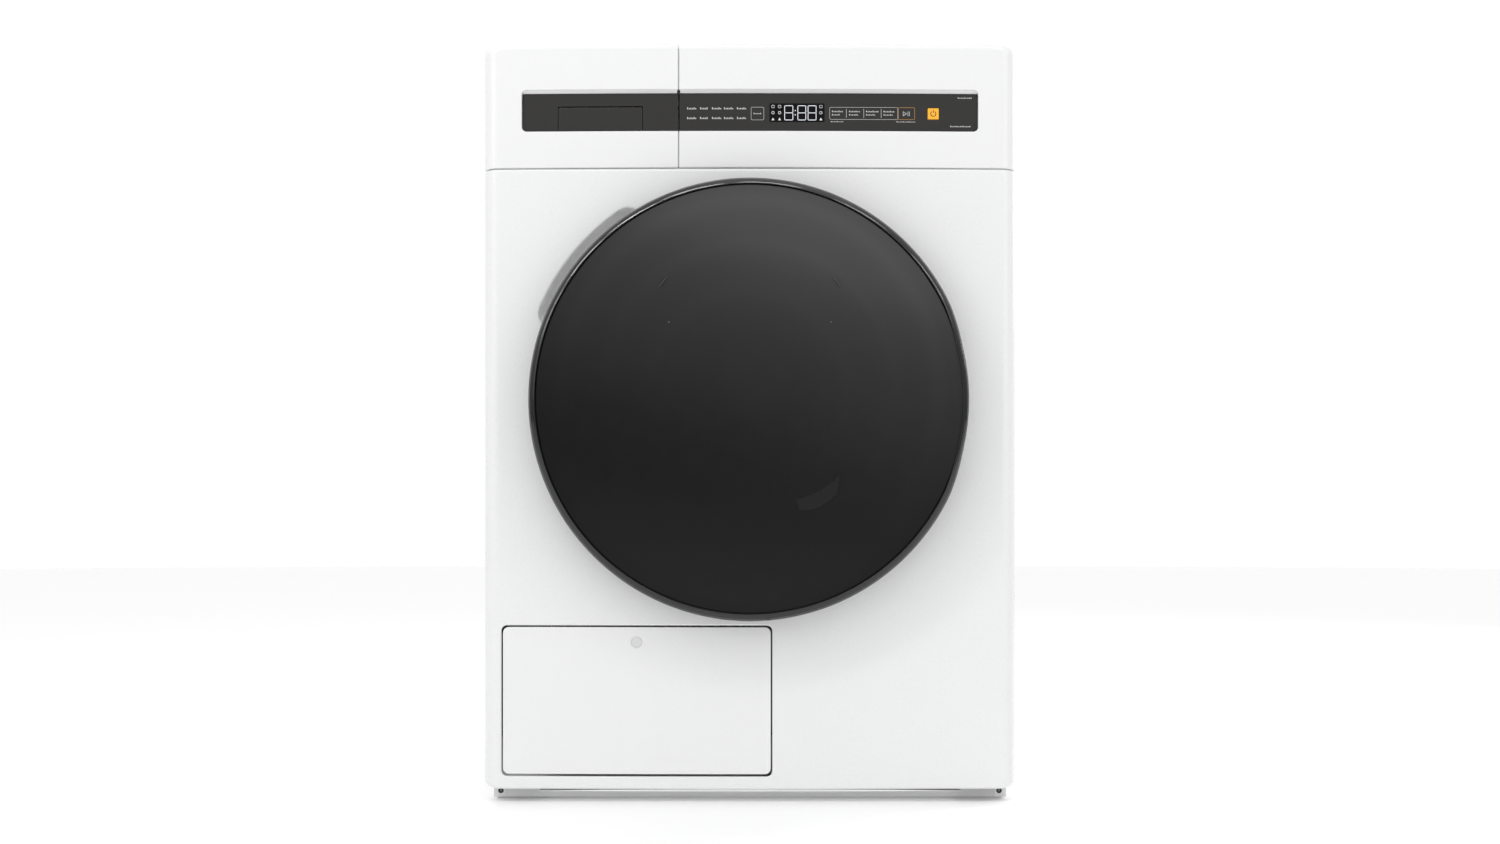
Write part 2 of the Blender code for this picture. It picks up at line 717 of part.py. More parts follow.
def lint_filter_housing():
    housing = box("lint_filter_housing", (-0.082, -0.246, 0.2165), (0.082, -0.2165, 0.290))
    well = box("lint_well", (-0.0765, -0.242, 0.2195), (0.0765, -0.2205, 0.30))
    outlet = box("lint_outlet", (-0.060, -0.238, 0.21), (0.060, -0.2245, 0.23))
    throat = rod("throat_space", (0, -0.23, MOUTH_Z), MOUTH_RADIUS + 0.0046, 0.06, "Y", ROUND_STEPS)
    return grey_plastic(cut(housing, well, outlet, throat))


def lint_filter():
    screen = box("lint_filter", (-0.073, -0.2380, 0.2210), (0.073, -0.2245, 0.2760))
    cap = box("lint_filter_cap", (-0.0735, -0.2395, 0.2740), (0.0735, -0.2230, 0.2840), 0.002)
    join(screen, cap)
    for column in range(4):
        low = -0.067 + 0.0345 * column
        cut(screen, box("lint_window", (low, -0.25, 0.2260), (low + 0.0305, -0.21, 0.2700)))
    pivot("lint_filter_slide", (0, -0.231, 0.284), screen)
    return grey_plastic(screen)


def rear_bulkhead():
    outline = [(-0.286, 0.072), (0.286, 0.072), (0.286, 0.800), (-0.286, 0.800)]
    holes = [circle(0, DRUM_Z, 0.0125, 24), circle(0.070, 0.136, 0.010, 16)]
    return galvanised(plate("rear_bulkhead", [outline] + holes, "XZ", *REAR_BULKHEAD_Y))


def rear_bearing():
    return steel(turned("rear_bearing", ring_profile(0.0104, 0.030, 0.2883, 0.300), 0, DRUM_Z, 24))


# ---------------------------------------------------------------- drum

def drum_shell():
    inner = DRUM_RADIUS - DRUM_WALL
    profile = [(DRUM_RADIUS, DRUM_BACK), (DRUM_RADIUS, -0.190), (0.262, DRUM_FRONT),
               (0.262, DRUM_FRONT + DRUM_WALL), (inner, -0.1888), (inner, DRUM_BACK)]
    return steel(turned("drum_shell", profile, 0, DRUM_Z))


def drum_rear_wall():
    profile = [(0, 0.2545), (0.140, 0.2545), (0.150, 0.2500), (0.2780, 0.2545), (0.2825, 0.2545), (0.2825, 0.2533),
               (0.2780, 0.2533), (0.150, 0.2485), (0.139, 0.2530), (0, 0.2530)]
    return steel(turned("drum_rear_wall", profile, 0, DRUM_Z))


def drum_lifter(number, angle):
    """A hollow-looking paddle, wide at the drum wall and narrow at its crest."""
    section = [(-0.030, 0.2800), (-0.022, 0.262), (-0.010, 0.236), (-0.005, 0.2305), (0.005, 0.2305), (0.010, 0.236),
               (0.022, 0.262), (0.030, 0.2800)]
    turn = math.radians(angle)
    outline = [(r * math.cos(turn) - u * math.sin(turn), DRUM_Z + r * math.sin(turn) + u * math.cos(turn))
               for u, r in section]
    return grey_plastic(plate(f"drum_lifter_{number}", [outline], "XZ", *LIFTER_Y))


def drum_shaft():
    profile = [(0, 0.304), (0.010, 0.304), (0.010, 0.262), (0.030, 0.2585), (0.070, 0.2575), (0.070, 0.2548),
               (0, 0.2548)]
    return steel(turned("drum_shaft", profile, 0, DRUM_Z, 32))


def drum():
    pieces = [drum_shell(), drum_rear_wall(), drum_shaft()]
    pieces += [drum_lifter(i + 1, 90 + 120 * i) for i in range(3)]
    pivot("drum_axis", (0, 0, DRUM_Z), *pieces)


def support_rollers():
    for side, hand in ((-1, "left"), (1, "right")):
        roller = turned("support_roller_" + hand, ring_profile(0.0063, ROLLER_RADIUS, *ROLLER_Y), side * ROLLER_X,
                        ROLLER_Z, 32)
        rubber(roller)
        pivot(f"support_roller_{hand}_axis", (side * ROLLER_X, -0.182, ROLLER_Z), roller)


# ---------------------------------------------------------------- drive

def drive_motor():
    profile = [(0.022, 0.134), (0.050, 0.126), (0.055, 0.115), (0.055, 0.036), (0.050, 0.026), (0.022, 0.020),
               (0.0062, 0.020), (0.0062, 0.134)]
    motor = turned("drive_motor", profile, MOTOR_X, MOTOR_Z, 24)
    for y in (0.040, 0.104):
        leg = box("motor_leg", (MOTOR_X - 0.040, y, FLOOR_HIGH + GAP), (MOTOR_X + 0.040, y + 0.005, 0.150))
        join(motor, leg)
    return galvanised(motor)


def motor_rotor():
    groove = BELT_Y[0] - 0.002
    flange = BELT_Y[1] + 0.002
    profile = [(0, 0.162), (SHAFT_RADIUS, 0.162), (SHAFT_RADIUS, flange + 0.001), (PULLEY_RADIUS, flange),
               (PULLEY_RADIUS, groove), (SHAFT_RADIUS, groove - 0.001), (SHAFT_RADIUS, -0.036), (0, -0.036)]
    rotor = steel(turned("rotor_shaft", profile, MOTOR_X, MOTOR_Z, 24))
    pivot("motor_axis", (MOTOR_X, 0, MOTOR_Z), rotor, blower_wheel())


def blower_wheel():
    hub = [(0.010, 0.008), (0.064, 0.008), (0.064, 0.005), (0.012, 0.004), (0.010, -0.030), (0.0061, -0.030),
           (0.0061, 0.008)]
    wheel = turned("blower_wheel", hub, MOTOR_X, MOTOR_Z, 24)
    rim = turned("blower_rim", ring_profile(0.050, 0.064, -0.034, -0.031), MOTOR_X, MOTOR_Z, 24)
    join(wheel, rim)
    count = 10
    for i in range(count):
        turn = math.tau * i / count
        blade = box("blower_blade", (-0.006, -0.032, -0.0009), (0.006, 0.006, 0.0009))
        blade.rotation_euler = (0, turn + 0.5, 0)
        blade.location = (MOTOR_X + 0.057 * math.cos(turn), -0.013, MOTOR_Z - 0.057 * math.sin(turn))
        join(wheel, blade)
    return black_plastic(wheel)


def blower_housing():
    profile = [(0.074, 0.014), (0.074, -0.042), (0.045, -0.042), (0.045, -0.039), (0.070, -0.039), (0.070, 0.011),
               (0.010, 0.011), (0.010, 0.014)]
    return grey_plastic(turned("blower_housing", profile, MOTOR_X, MOTOR_Z, 32))


def belt_line(drum_radius, pulley_radius):
    """The loop round the drum and the motor pulley, and the angle of its lower straight run."""
    offset = Vector((MOTOR_X, MOTOR_Z - DRUM_Z))
    heading = math.degrees(math.atan2(offset.y, offset.x))
    spread = math.degrees(math.acos((drum_radius - pulley_radius) / offset.length))
    loop = arc(0, DRUM_Z, drum_radius, heading + spread, heading - spread + 360, 54)
    loop += arc(MOTOR_X, MOTOR_Z, pulley_radius, heading - spread, heading + spread, 8)
    return loop, heading - spread


def belt_radii(extra):
    return DRUM_RADIUS + 0.0006 + extra, PULLEY_RADIUS + 0.0004 + extra


def idler_centre():
    """The idler presses on the lower run from outside, nearer the motor than the drum."""
    _, angle = belt_line(*belt_radii(BELT_THICK))
    normal = Vector((math.cos(math.radians(angle)), math.sin(math.radians(angle))))
    drum_radius, pulley_radius = belt_radii(BELT_THICK)
    start = Vector((0, DRUM_Z)) + normal * drum_radius
    end = Vector((MOTOR_X, MOTOR_Z)) + normal * pulley_radius
    return start.lerp(end, 0.62) + normal * (IDLER_RADIUS + 0.0004)


def belt_drive():
    outer, _ = belt_line(*belt_radii(BELT_THICK))
    inner, _ = belt_line(*belt_radii(0))
    rubber(plate("drum_belt", [outer, inner], "XZ", *BELT_Y))
    centre = idler_centre()
    idler = turned("idler_pulley", ring_profile(0.0044, IDLER_RADIUS, BELT_Y[0] - 0.002, BELT_Y[1] + 0.002),
                   centre.x, centre.y, 24)
    grey_plastic(idler)
    pivot("idler_axis", (centre.x, 0.15, centre.y), idler)
    arm = box("belt_tensioner", (centre.x - 0.008, 0.160, FLOOR_HIGH + GAP), (centre.x + 0.008, 0.165, centre.y + 0.008))
    pin = rod("idler_pin", (centre.x, 0.152, centre.y), 0.004, 0.022, "Y", 16)
    base = box("tensioner_foot", (centre.x - 0.02, 0.155, FLOOR_HIGH + GAP), (centre.x + 0.02, 0.190, 0.028))
    steel(join(arm, pin, base))


# ---------------------------------------------------------------- heat pump and service side

def compressor():
    x, y = (-0.170, 0.180)
    profile = [(0, 0.264), (0.026, 0.260), (0.048, 0.248), (0.060, 0.228), (0.062, 0.210), (0.062, 0.070),
               (0.050, 0.034), (0.044, 0.034), (0.057, 0.072), (0.057, 0.208), (0.044, 0.241), (0, 0.256)]
    body = turned("compressor", profile, x, y, 24, "Z")
    foot = box("compressor_foot", (x - 0.075, y - 0.060, 0.030), (x + 0.075, y + 0.060, 0.036))
    join(body, foot)
    for side_x in (-0.062, 0.062):
        for side_y in (-0.048, 0.048):
            join(body, rod("compressor_mount", (x + side_x, y + side_y, 0.0285), 0.009, 0.0084, "Z", 12))
    drain = rod("compressor_drain", (x, y, 0.032), 0.030, 0.03, "Z")
    return black_plastic(cut(body, drain))


def finned_block(name, y_low, y_high):
    """A heat exchanger: fins standing along the air stream on one base."""
    left = -0.240
    pitch = 0.0142
    fin = 0.0024
    count = 19
    base = 0.036
    top = 0.205
    outline = [(left, FLOOR_HIGH + GAP)]
    for i in range(count):
        x = left + pitch * i
        outline += [(x, top if i == 0 else base), (x, top)][i == 0:] + [(x + fin, top), (x + fin, base)]
    outline[-1] = (outline[-2][0], FLOOR_HIGH + GAP)
    return galvanised(plate(name, [outline], "XZ", y_low, y_high))


def discharge_pipe():
    knots = [(-0.170, 0.1172, 0.200), (-0.170, 0.100, 0.200), (-0.170, 0.075, 0.190), (-0.170, 0.062, 0.165),
             (-0.170, 0.050, 0.145), (-0.170, 0.034, 0.140), (-0.170, 0.0155, 0.140)]
    return copper(tube("discharge_pipe", smooth_route(knots, 2), 0.004))


def condensate_pump():
    body = box("condensate_pump", (0.040, 0.222, FLOOR_HIGH + GAP), (0.100, 0.278, 0.084), 0.003)
    motor = rod("pump_motor", (0.070, 0.250, 0.098), 0.020, 0.032, "Z", 24)
    return grey_plastic(join(body, motor))


def condensate_hose():
    knots = [(0.070, 0.250, 0.1145), (0.070, 0.251, 0.125), (0.070, 0.262, 0.134), (0.070, 0.280, 0.136),
             (0.071, 0.294, 0.141), (0.074, 0.302, 0.160), (0.090, 0.303, 0.230), (0.130, 0.303, 0.360),
             (0.150, 0.303, 0.515), (0.120, 0.303, 0.650), (0.020, 0.303, 0.750), (-0.100, 0.303, 0.793),
             (-0.160, 0.300, 0.807), (-0.186, 0.288, 0.811), (-0.190, 0.262, 0.811), (-0.190, 0.238, 0.803),
             (-0.190, 0.222, 0.792), (-0.190, 0.203, 0.790)]
    return grey_plastic(tube("condensate_hose", smooth_route(knots, 2), 0.006))


def filter_cassette():
    cassette = box("filter_cassette", (-0.262, -0.258, 0.0715), (0.008, -0.236, 0.192))
    for column in range(5):
        low = -0.254 + 0.0516 * column
        cut(cassette, box("cassette_window", (low, -0.27, 0.0795), (low + 0.0460, -0.22, 0.184)))
    return grey_plastic(cassette)


def access_flap():
    skin = plate("access_flap", [band_outline(*FLAP_X, 0, FLAP_RIM, 14)], "XY", *FLAP_Z)
    inner = band_outline(FLAP_X[0] + FLAP_SKIN, FLAP_X[1] - FLAP_SKIN, FLAP_SKIN, FLAP_RIM + 0.01, 14)
    hollow = plate("flap_hollow", [inner], "XY", FLAP_Z[0] + FLAP_SKIN, FLAP_Z[1] - FLAP_SKIN)
    corners = [rounded_rect(FLAP_X[0] - 0.01, FLAP_Z[0] - 0.01, FLAP_X[1] + 0.01, FLAP_Z[1] + 0.01, 0.0067),
               rounded_rect(*(FLAP_X[0], FLAP_Z[0], FLAP_X[1], FLAP_Z[1]), 0.0067)]
    trim = plate("flap_corner_trim", corners, "XZ", FRONT - 0.01, FRONT + 0.04)
    pivot("access_flap_axis", FLAP_AXIS, cut(skin, hollow, trim))
    return white_enamel(skin)


def flap_catch():
    catch = box("flap_catch", (-0.138, -0.2788, 0.1972), (-0.116, -0.262, 0.215), 0.001)
    return black_plastic(catch)


def cord_inlet():
    seat = REAR_Y + SHEET + GAP
    profile = [(0.009, 0.3268), (0.011, 0.3210), (0.014, 0.3200), (0.014, seat), (0.004, seat), (0.004, 0.3268)]
    return black_plastic(turned("cord_inlet", profile, 0.230, 0.070, 24))


def build():
    clear_scene()
    base_tray()
    feet()
    side_panel(-1, "left")
    side_panel(1, "right")
    rear_panel()
    rear_service_cover()
    worktop()
    front_panel()
    handle_cup()
    control_fascia()
    control_glass()
    display_module()
    power_button()
    tank_drawer()
    tank_cradle()
    door()
    hinge_bracket()
    door_lock()
    door_seal()
    front_bulkhead()
    lint_filter_housing()
    lint_filter()
    rear_bulkhead()
    rear_bearing()
    drum()
    support_rollers()
    drive_motor()
    motor_rotor()
    blower_housing()
    belt_drive()
    compressor()
    finned_block("evaporator", -0.225, -0.125)
    finned_block("condenser", -0.115, 0.015)
    discharge_pipe()
    condensate_pump()
    condensate_hose()
    filter_cassette()
    access_flap()
    flap_catch()
    cord_inlet()


build()
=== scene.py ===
"""Looks of a heat pump clothes dryer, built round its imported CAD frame.

Units are metres, +Z is up and the front faces -Y. The front skin's pieces are drawn flat, as distance
along the skin and height, and then wrapped round the crowned front and its corners.
"""

import json
from math import atan2, ceil, copysign, cos, degrees, dist, hypot, pi, radians, sin, sqrt, tau

import bmesh
import bpy
from mathutils import Matrix, Quaternion, Vector


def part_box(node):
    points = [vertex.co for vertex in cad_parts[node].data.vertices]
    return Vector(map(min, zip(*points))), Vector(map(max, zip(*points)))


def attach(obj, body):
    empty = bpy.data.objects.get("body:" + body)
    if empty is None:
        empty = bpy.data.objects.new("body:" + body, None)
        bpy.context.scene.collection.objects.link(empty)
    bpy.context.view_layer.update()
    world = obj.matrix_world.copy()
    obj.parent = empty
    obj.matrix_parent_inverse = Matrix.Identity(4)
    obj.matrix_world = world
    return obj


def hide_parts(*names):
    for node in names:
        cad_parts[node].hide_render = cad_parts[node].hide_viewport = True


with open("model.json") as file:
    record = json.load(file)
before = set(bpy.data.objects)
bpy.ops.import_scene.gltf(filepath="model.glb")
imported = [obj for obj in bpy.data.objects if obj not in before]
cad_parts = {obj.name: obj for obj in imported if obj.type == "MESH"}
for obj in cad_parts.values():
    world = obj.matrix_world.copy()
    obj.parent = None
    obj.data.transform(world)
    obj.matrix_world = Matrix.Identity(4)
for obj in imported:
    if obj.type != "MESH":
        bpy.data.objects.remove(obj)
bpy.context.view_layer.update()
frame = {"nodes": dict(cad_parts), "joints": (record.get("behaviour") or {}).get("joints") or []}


# ---------------------------------------------------------------- sizes taken from the frame

def centre(name):
    low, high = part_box(name)
    return (low + high) / 2


PANEL_LOW, PANEL_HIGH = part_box("front_panel")
FASCIA_LOW, FASCIA_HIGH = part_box("control_fascia")
TANK_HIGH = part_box("tank_front")[1]
HALF_WIDTH = PANEL_HIGH.x
FRONT = PANEL_LOW.y
WRAP_BACK = PANEL_HIGH.y
TOP = FASCIA_HIGH.z
# The upright seam between the tank drawer and the fascia.
SEAM = 0.5 * (FASCIA_LOW.x + TANK_HIGH.x)
FASCIA_BOTTOM = FASCIA_LOW.z
CROWN_RADIUS = 7.84
CORNER = 0.018
FLAT_HALF = HALF_WIDTH - CORNER
MOUTH = centre("door_seal")
DOOR = centre("door_cover")
DOOR_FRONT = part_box("door_cover")[0].y
COVER_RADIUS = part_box("door_cover")[1].x
DRUM = centre("drum_shell")
DRUM_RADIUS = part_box("drum_shell")[1].x
HINGE = Vector(next(j for j in frame["joints"] if j["name"] == "door_hinge")["pos_m"])

# The strip's window and what lies in it.
STRIP_LOW = 0.747
STRIP_HIGH = 0.793
STRIP_HALF = 0.2545
STRIP_CORNER = 0.0055
STRIP_DEPTH = 0.0045
GLASS_LOW = 0.7476
GLASS_HIGH = 0.7903
GRIP_LOW_CORNER, GRIP_HIGH_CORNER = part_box("grip_flap")

# The handle recess, a band along an arc about this height on the middle line.
RECESS_Z = 0.449
RECESS_RADII = (0.222, 0.2536)
RECESS_ANGLES = (124.9, 156.6)

FLAP_LOW, FLAP_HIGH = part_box("access_flap")


# ---------------------------------------------------------------- materials

def fill(tree, target, inputs):
    """Set a node's inputs; each is a plain value, or a (node, output) pair to link."""
    for name, value in inputs.items():
        if isinstance(value, tuple) and isinstance(value[0], bpy.types.Node):
            tree.links.new(value[0].outputs[value[1]], target.inputs[name])
        else:
            target.inputs[name].default_value = value


def node(tree, kind, inputs=None, **settings):
    result = tree.nodes.new("ShaderNode" + kind)
    for name, value in settings.items():
        setattr(result, name, value)
    fill(tree, result, inputs or {})
    return result


def blank_material(name):
    material = bpy.data.materials.new(name)
    material.use_nodes = True
    tree = material.node_tree
    return material, tree, tree.nodes["Principled BSDF"], node(tree, "TexCoord")


def noise(tree, coordinates, scale, detail=2.0, stretch=(1, 1, 1)):
    """Noise in object space, so its grain has a real size."""
    mapping = node(tree, "Mapping", {"Scale": stretch, "Vector": (coordinates, "Object")})
    return node(tree, "TexNoise", {"Scale": scale, "Detail": detail, "Vector": (mapping, "Vector")})


def spread(tree, value, low, high, from_low=0.3, from_high=0.7):
    return node(tree, "MapRange", {"From Min": from_low, "From Max": from_high, "To Min": low,
        "To Max": high, "Value": value})


def mix(tree, factor, colour_a, colour_b):
    return node(tree, "Mix", {"A": (*colour_a, 1), "B": (*colour_b, 1), "Factor": factor}, data_type="RGBA")


def relief(tree, height, strength, distance=0.0002):
    """Bump from a height, as an input for a shader's normal."""
    return node(tree, "Bump", {"Strength": strength, "Distance": distance, "Height": height}), "Normal"


def float_curve(tree, value, points):
    """A curve through points whose x runs from 0 to 1."""
    result = node(tree, "FloatCurve", {"Value": value})
    curve = result.mapping.curves[0]
    curve.points[0].location, curve.points[1].location = points[0], points[-1]
    for x, y in points[1:-1]:
        curve.points.new(x, y)
    result.mapping.update()
    return result


def shade(colour, factor):
    return tuple(min(1.0, c * factor) for c in colour)


def surface(name, colour, roughness, metallic=0.0, grain=1200.0, bump=0.05, drift=0.03, rough_drift=0.06,
        stretch=(1, 1, 1), coat=0.0, specular=0.5):
    """A moulded, painted or rolled surface: cloudy colour, uneven gloss and a fine grain in relief."""
    material, tree, shader, coordinates = blank_material(name)
    clouds = noise(tree, coordinates, 9.0, 3.0)
    tint = mix(tree, (clouds, "Fac"), shade(colour, 1 - drift), shade(colour, 1 + drift))
    fine = noise(tree, coordinates, grain, 2.0, stretch)
    gloss = spread(tree, (fine, "Fac"), max(0.02, roughness - rough_drift), roughness + rough_drift)
    fill(tree, shader, {"Base Color": (tint, "Result"), "Roughness": (gloss, "Result"),
        "Metallic": metallic, "Normal": relief(tree, (fine, "Fac"), bump), "Coat Weight": coat,
        "Coat Roughness": 0.08, "Specular IOR Level": specular})
    return material


def lit(name, colour, strength):
    """A printed or lit mark that glows, brighter where its light guide is; on a printed mark the glow is
    painted light.
    """
    material, tree, shader, coordinates = blank_material(name)
    tint = mix(tree, (noise(tree, coordinates, 160.0), "Fac"), shade(colour, 0.88), colour)
    fill(tree, shader, {"Base Color": (tint, "Result"), "Emission Color": (tint, "Result"),
        "Emission Strength": strength, "Roughness": 0.4})
    return material


# The smoked cover's tone: faint rings by their radius for the inner door behind it, and a painted light that
# slopes up to the upper right.
RINGS_REACH = 0.3
RINGS = ((0.0, 0.48), (0.092, 0.47), (0.106, 0.5), (0.12, 0.48), (0.146, 0.48), (0.158, 0.51), (0.17, 0.48),
    (0.19, 0.48), (0.206, 0.52), (0.218, 0.47), (RINGS_REACH, 0.45))
PAINTED_LIGHT_SLOPE = ((0.0, 0.0), (0.25, 0.01), (0.5, 0.2), (0.7, 0.42), (0.88, 0.85), (1.0, 1.0))


def smoked_cover_material():
    """Smoked acrylic: the door's inner rings and fixings show faintly through it, under a painted light that
    is brighter towards the upper right.
    """
    material, tree, shader, coordinates = blank_material("smoked_cover_acrylic")
    shift = node(tree, "Mapping", {"Location": (0, 0, -(DOOR.z + 0.012)), "Scale": (1, 0, 1),
        "Vector": (coordinates, "Object")})
    radius = node(tree, "VectorMath", {0: (shift, "Vector")}, operation="LENGTH")
    scaled = node(tree, "Math", {0: (radius, "Value"), 1: RINGS_REACH}, operation="DIVIDE")
    rings = float_curve(tree, (scaled, "Value"), [(x / RINGS_REACH, y) for x, y in RINGS])
    # Painted light: the cover is made brighter towards the upper right, where the lights fall on it, and the
    # rings show only where it is lit.
    light_lean = node(tree, "VectorMath", {0: (shift, "Vector"), 1: (0.3, 0.0, 0.95)}, operation="DOT_PRODUCT")
    along = spread(tree, (light_lean, "Value"), 0.0, 1.0, -0.22, 0.23)
    painted_light = float_curve(tree, (along, "Result"), PAINTED_LIGHT_SLOPE)
    lit_rings = node(tree, "Math", {0: (painted_light, "Value"), 1: (rings, "Value")}, operation="MULTIPLY")
    tint = mix(tree, (lit_rings, "Value"), (0.0034, 0.0034, 0.0036), (0.14, 0.14, 0.142))
    gloss = spread(tree, (noise(tree, coordinates, 40.0, 4.0), "Fac"), 0.2, 0.27)
    fill(tree, shader, {"Base Color": (tint, "Result"), "Roughness": (gloss, "Result"), "IOR": 1.49,
        "Specular IOR Level": 0.24})
    return material


def galvanised_material(name, colour, cell=70.0):
    """Zinc coated sheet, with its spangle."""
    material, tree, shader, coordinates = blank_material(name)
    cells = node(tree, "TexVoronoi", {"Scale": cell, "Vector": (coordinates, "Object")})
    tint = mix(tree, (cells, "Distance"), shade(colour, 0.9), shade(colour, 1.08))
    separate = node(tree, "SeparateColor", {"Color": (cells, "Color")})
    gloss = spread(tree, (separate, "Red"), 0.34, 0.5, 0.0, 1.0)
    fill(tree, shader, {"Base Color": (tint, "Result"), "Roughness": (gloss, "Result"), "Metallic": 0.85,
        "Normal": relief(tree, (noise(tree, coordinates, 700.0), "Fac"), 0.06)})
    return material


def glass_material():
    material, tree, shader, coordinates = blank_material("pressed_glass")
    waves = noise(tree, coordinates, 14.0, 1.0)
    tint = mix(tree, (waves, "Fac"), (0.78, 0.82, 0.82), (0.86, 0.89, 0.88))
    fill(tree, shader, {"Base Color": (tint, "Result"), "Normal": relief(tree, (waves, "Fac"), 0.04, 0.002),
        "Roughness": 0.03, "IOR": 1.5, "Transmission Weight": 0.92})
    return material


def screen_material(name, colour, pitch):
    """Woven lint screen or filter mesh: threads both ways with dark gaps."""
    material, tree, shader, coordinates = blank_material(name)
    threads = [node(tree, "TexWave", {"Scale": 0.314 / pitch, "Vector": (coordinates, "Object")},
        bands_direction=direction) for direction in ("X", "Z")]
    weave = node(tree, "Math", {0: (threads[0], "Fac"), 1: (threads[1], "Fac")}, operation="MAXIMUM")
    tint = mix(tree, (weave, "Value"), shade(colour, 0.15), colour)
    fill(tree, shader, {"Base Color": (tint, "Result"), "Roughness": 0.6,
        "Normal": relief(tree, (weave, "Value"), 0.5, 0.0004)})
    return material


ENAMEL = surface("white_enamel", (0.835, 0.838, 0.842), 0.3, grain=900, drift=0.006, coat=0.25)
MOULDED = surface("white_moulding", (0.84, 0.842, 0.845), 0.26, grain=2600, bump=0.03, drift=0.006, coat=0.2)
# Painted shade: the white laminate is given a grey darker than its own, against the strong light from
# overhead.
LAMINATE = surface("worktop_laminate", (0.72, 0.72, 0.725), 0.38, grain=1500, bump=0.1, drift=0.008)
GLASS_STRIP = surface("strip_glass", (0.022, 0.021, 0.02), 0.2, grain=60, bump=0.0, drift=0.05,
    rough_drift=0.03)
RIM_BLACK = surface("rim_black", (0.009, 0.009, 0.01), 0.1, grain=300, bump=0.01, drift=0.05,
    rough_drift=0.02, specular=0.55)
SMOKED = smoked_cover_material()
INNER_GREY = surface("inner_grey_plastic", (0.36, 0.37, 0.38), 0.48, grain=1800, bump=0.25)
TANK_GREY = surface("tank_plastic", (0.58, 0.61, 0.63), 0.34, grain=1400, bump=0.12)
BASE_GREY = surface("base_plastic", (0.82, 0.82, 0.825), 0.5, grain=1800, bump=0.2, drift=0.02)
BLACK_PLASTIC = surface("black_plastic", (0.022, 0.022, 0.024), 0.45, grain=1800, bump=0.2, drift=0.08)
RUBBER = surface("seal_rubber", (0.028, 0.028, 0.029), 0.72, grain=2200, bump=0.25, drift=0.08)
DRUM_STEEL = surface("drum_steel", (0.74, 0.74, 0.75), 0.33, 0.92, grain=260, bump=0.1, drift=0.04,
    stretch=(1, 14, 1))
MACHINED = surface("machined_steel", (0.56, 0.56, 0.57), 0.25, 1.0, grain=900, bump=0.08, drift=0.05,
    stretch=(1, 1, 9))
ZINC = galvanised_material("galvanised_sheet", (0.42, 0.44, 0.46))
FINS = surface("fin_aluminium", (0.68, 0.69, 0.7), 0.34, 0.9, grain=800, bump=0.15, drift=0.05,
    stretch=(6, 1, 1))
COPPER = surface("copper_tube", (0.7, 0.34, 0.2), 0.28, 1.0, grain=500, bump=0.08, drift=0.12)
GLASS = glass_material()
LINT_MESH = screen_material("lint_mesh", (0.5, 0.51, 0.52), 0.0012)
AMBER = lit("amber_key", (0.9, 0.4, 0.025), 0.3)
AMBER_LINE = lit("amber_line", (0.42, 0.22, 0.05), 0.06)
WHITE_MARK = lit("white_mark", (0.8, 0.8, 0.8), 0.1)
# Printed labels and frames on the strip; their glow is painted light, as print has no lamp.
DIM_MARK = lit("dim_mark", (0.6, 0.6, 0.6), 0.06)
DIGIT_LIGHT = lit("digit_light", (0.88, 0.9, 0.94), 0.36)
DISPLAY_BLACK = surface("display_black", (0.004, 0.004, 0.005), 0.3, grain=60, bump=0.0, drift=0.05,
    specular=0.12)
# Screw heads seen through the door cover, and painted glints on it.
SCREW_DOT_AND_GLINT = surface("screw_dot_and_painted_glint", (0.085, 0.085, 0.086), 0.4, drift=0.1, specular=0.1)
FAINT_GLINT = surface("faint_glint", (0.0115, 0.0115, 0.0117), 0.24, drift=0.1, specular=0.24)
# Painted shade for the flap's finger dimple.
DIMPLE_SHADE_GREY = surface("dimple_shade_paint", (0.73, 0.73, 0.735), 0.5, grain=2200, bump=0.12, drift=0.02)
INNER_RECESS = surface("recess_moulding", (0.84, 0.84, 0.845), 0.42, grain=2200, bump=0.12, drift=0.02)
COMPRESSOR_BLACK = surface("compressor_paint", (0.03, 0.031, 0.033), 0.3, grain=500, bump=0.1, drift=0.1,
    coat=0.2)
LIFTER_GREY = surface("lifter_plastic", (0.58, 0.59, 0.6), 0.42, grain=1500, bump=0.15, drift=0.02)
HOSE_GREY = surface("hose_plastic", (0.44, 0.45, 0.46), 0.45, grain=900, bump=0.15, drift=0.04)
FLOOR_WHITE = lit("floor_white", (0.94, 0.94, 0.94), 0.15)


# ---------------------------------------------------------------- shape helpers

def add_object(name, data):
    obj = bpy.data.objects.new(name, data)
    bpy.context.scene.collection.objects.link(obj)
    return obj


def keep_flat(obj):
    """Shade large faces flat beside rounded edges."""
    normals = obj.modifiers.new("normals", "WEIGHTED_NORMAL")
    normals.keep_sharp = True


def piece(name, mesh, material, body, replaced=(), weighted=True):
    """Give a mesh its place in the machine."""
    mesh.name = name
    obj = add_object(name, mesh)
    mesh.materials.clear()
    mesh.materials.append(material)
    if weighted:
        keep_flat(obj)
    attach(obj, body)
    if replaced:
        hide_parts(*replaced)
    return obj


def mesh_from(bm, sharp=35):
    bmesh.ops.recalc_face_normals(bm, faces=bm.faces)
    mesh = bpy.data.meshes.new("mesh")
    bm.to_mesh(mesh)
    bm.free()
    mesh.shade_smooth()
    mesh.set_sharp_from_angle(angle=radians(sharp))
    return mesh


def evaluated(obj):
    bpy.context.view_layer.update()
    depsgraph = bpy.context.evaluated_depsgraph_get()
    return bpy.data.meshes.new_from_object(obj.evaluated_get(depsgraph))


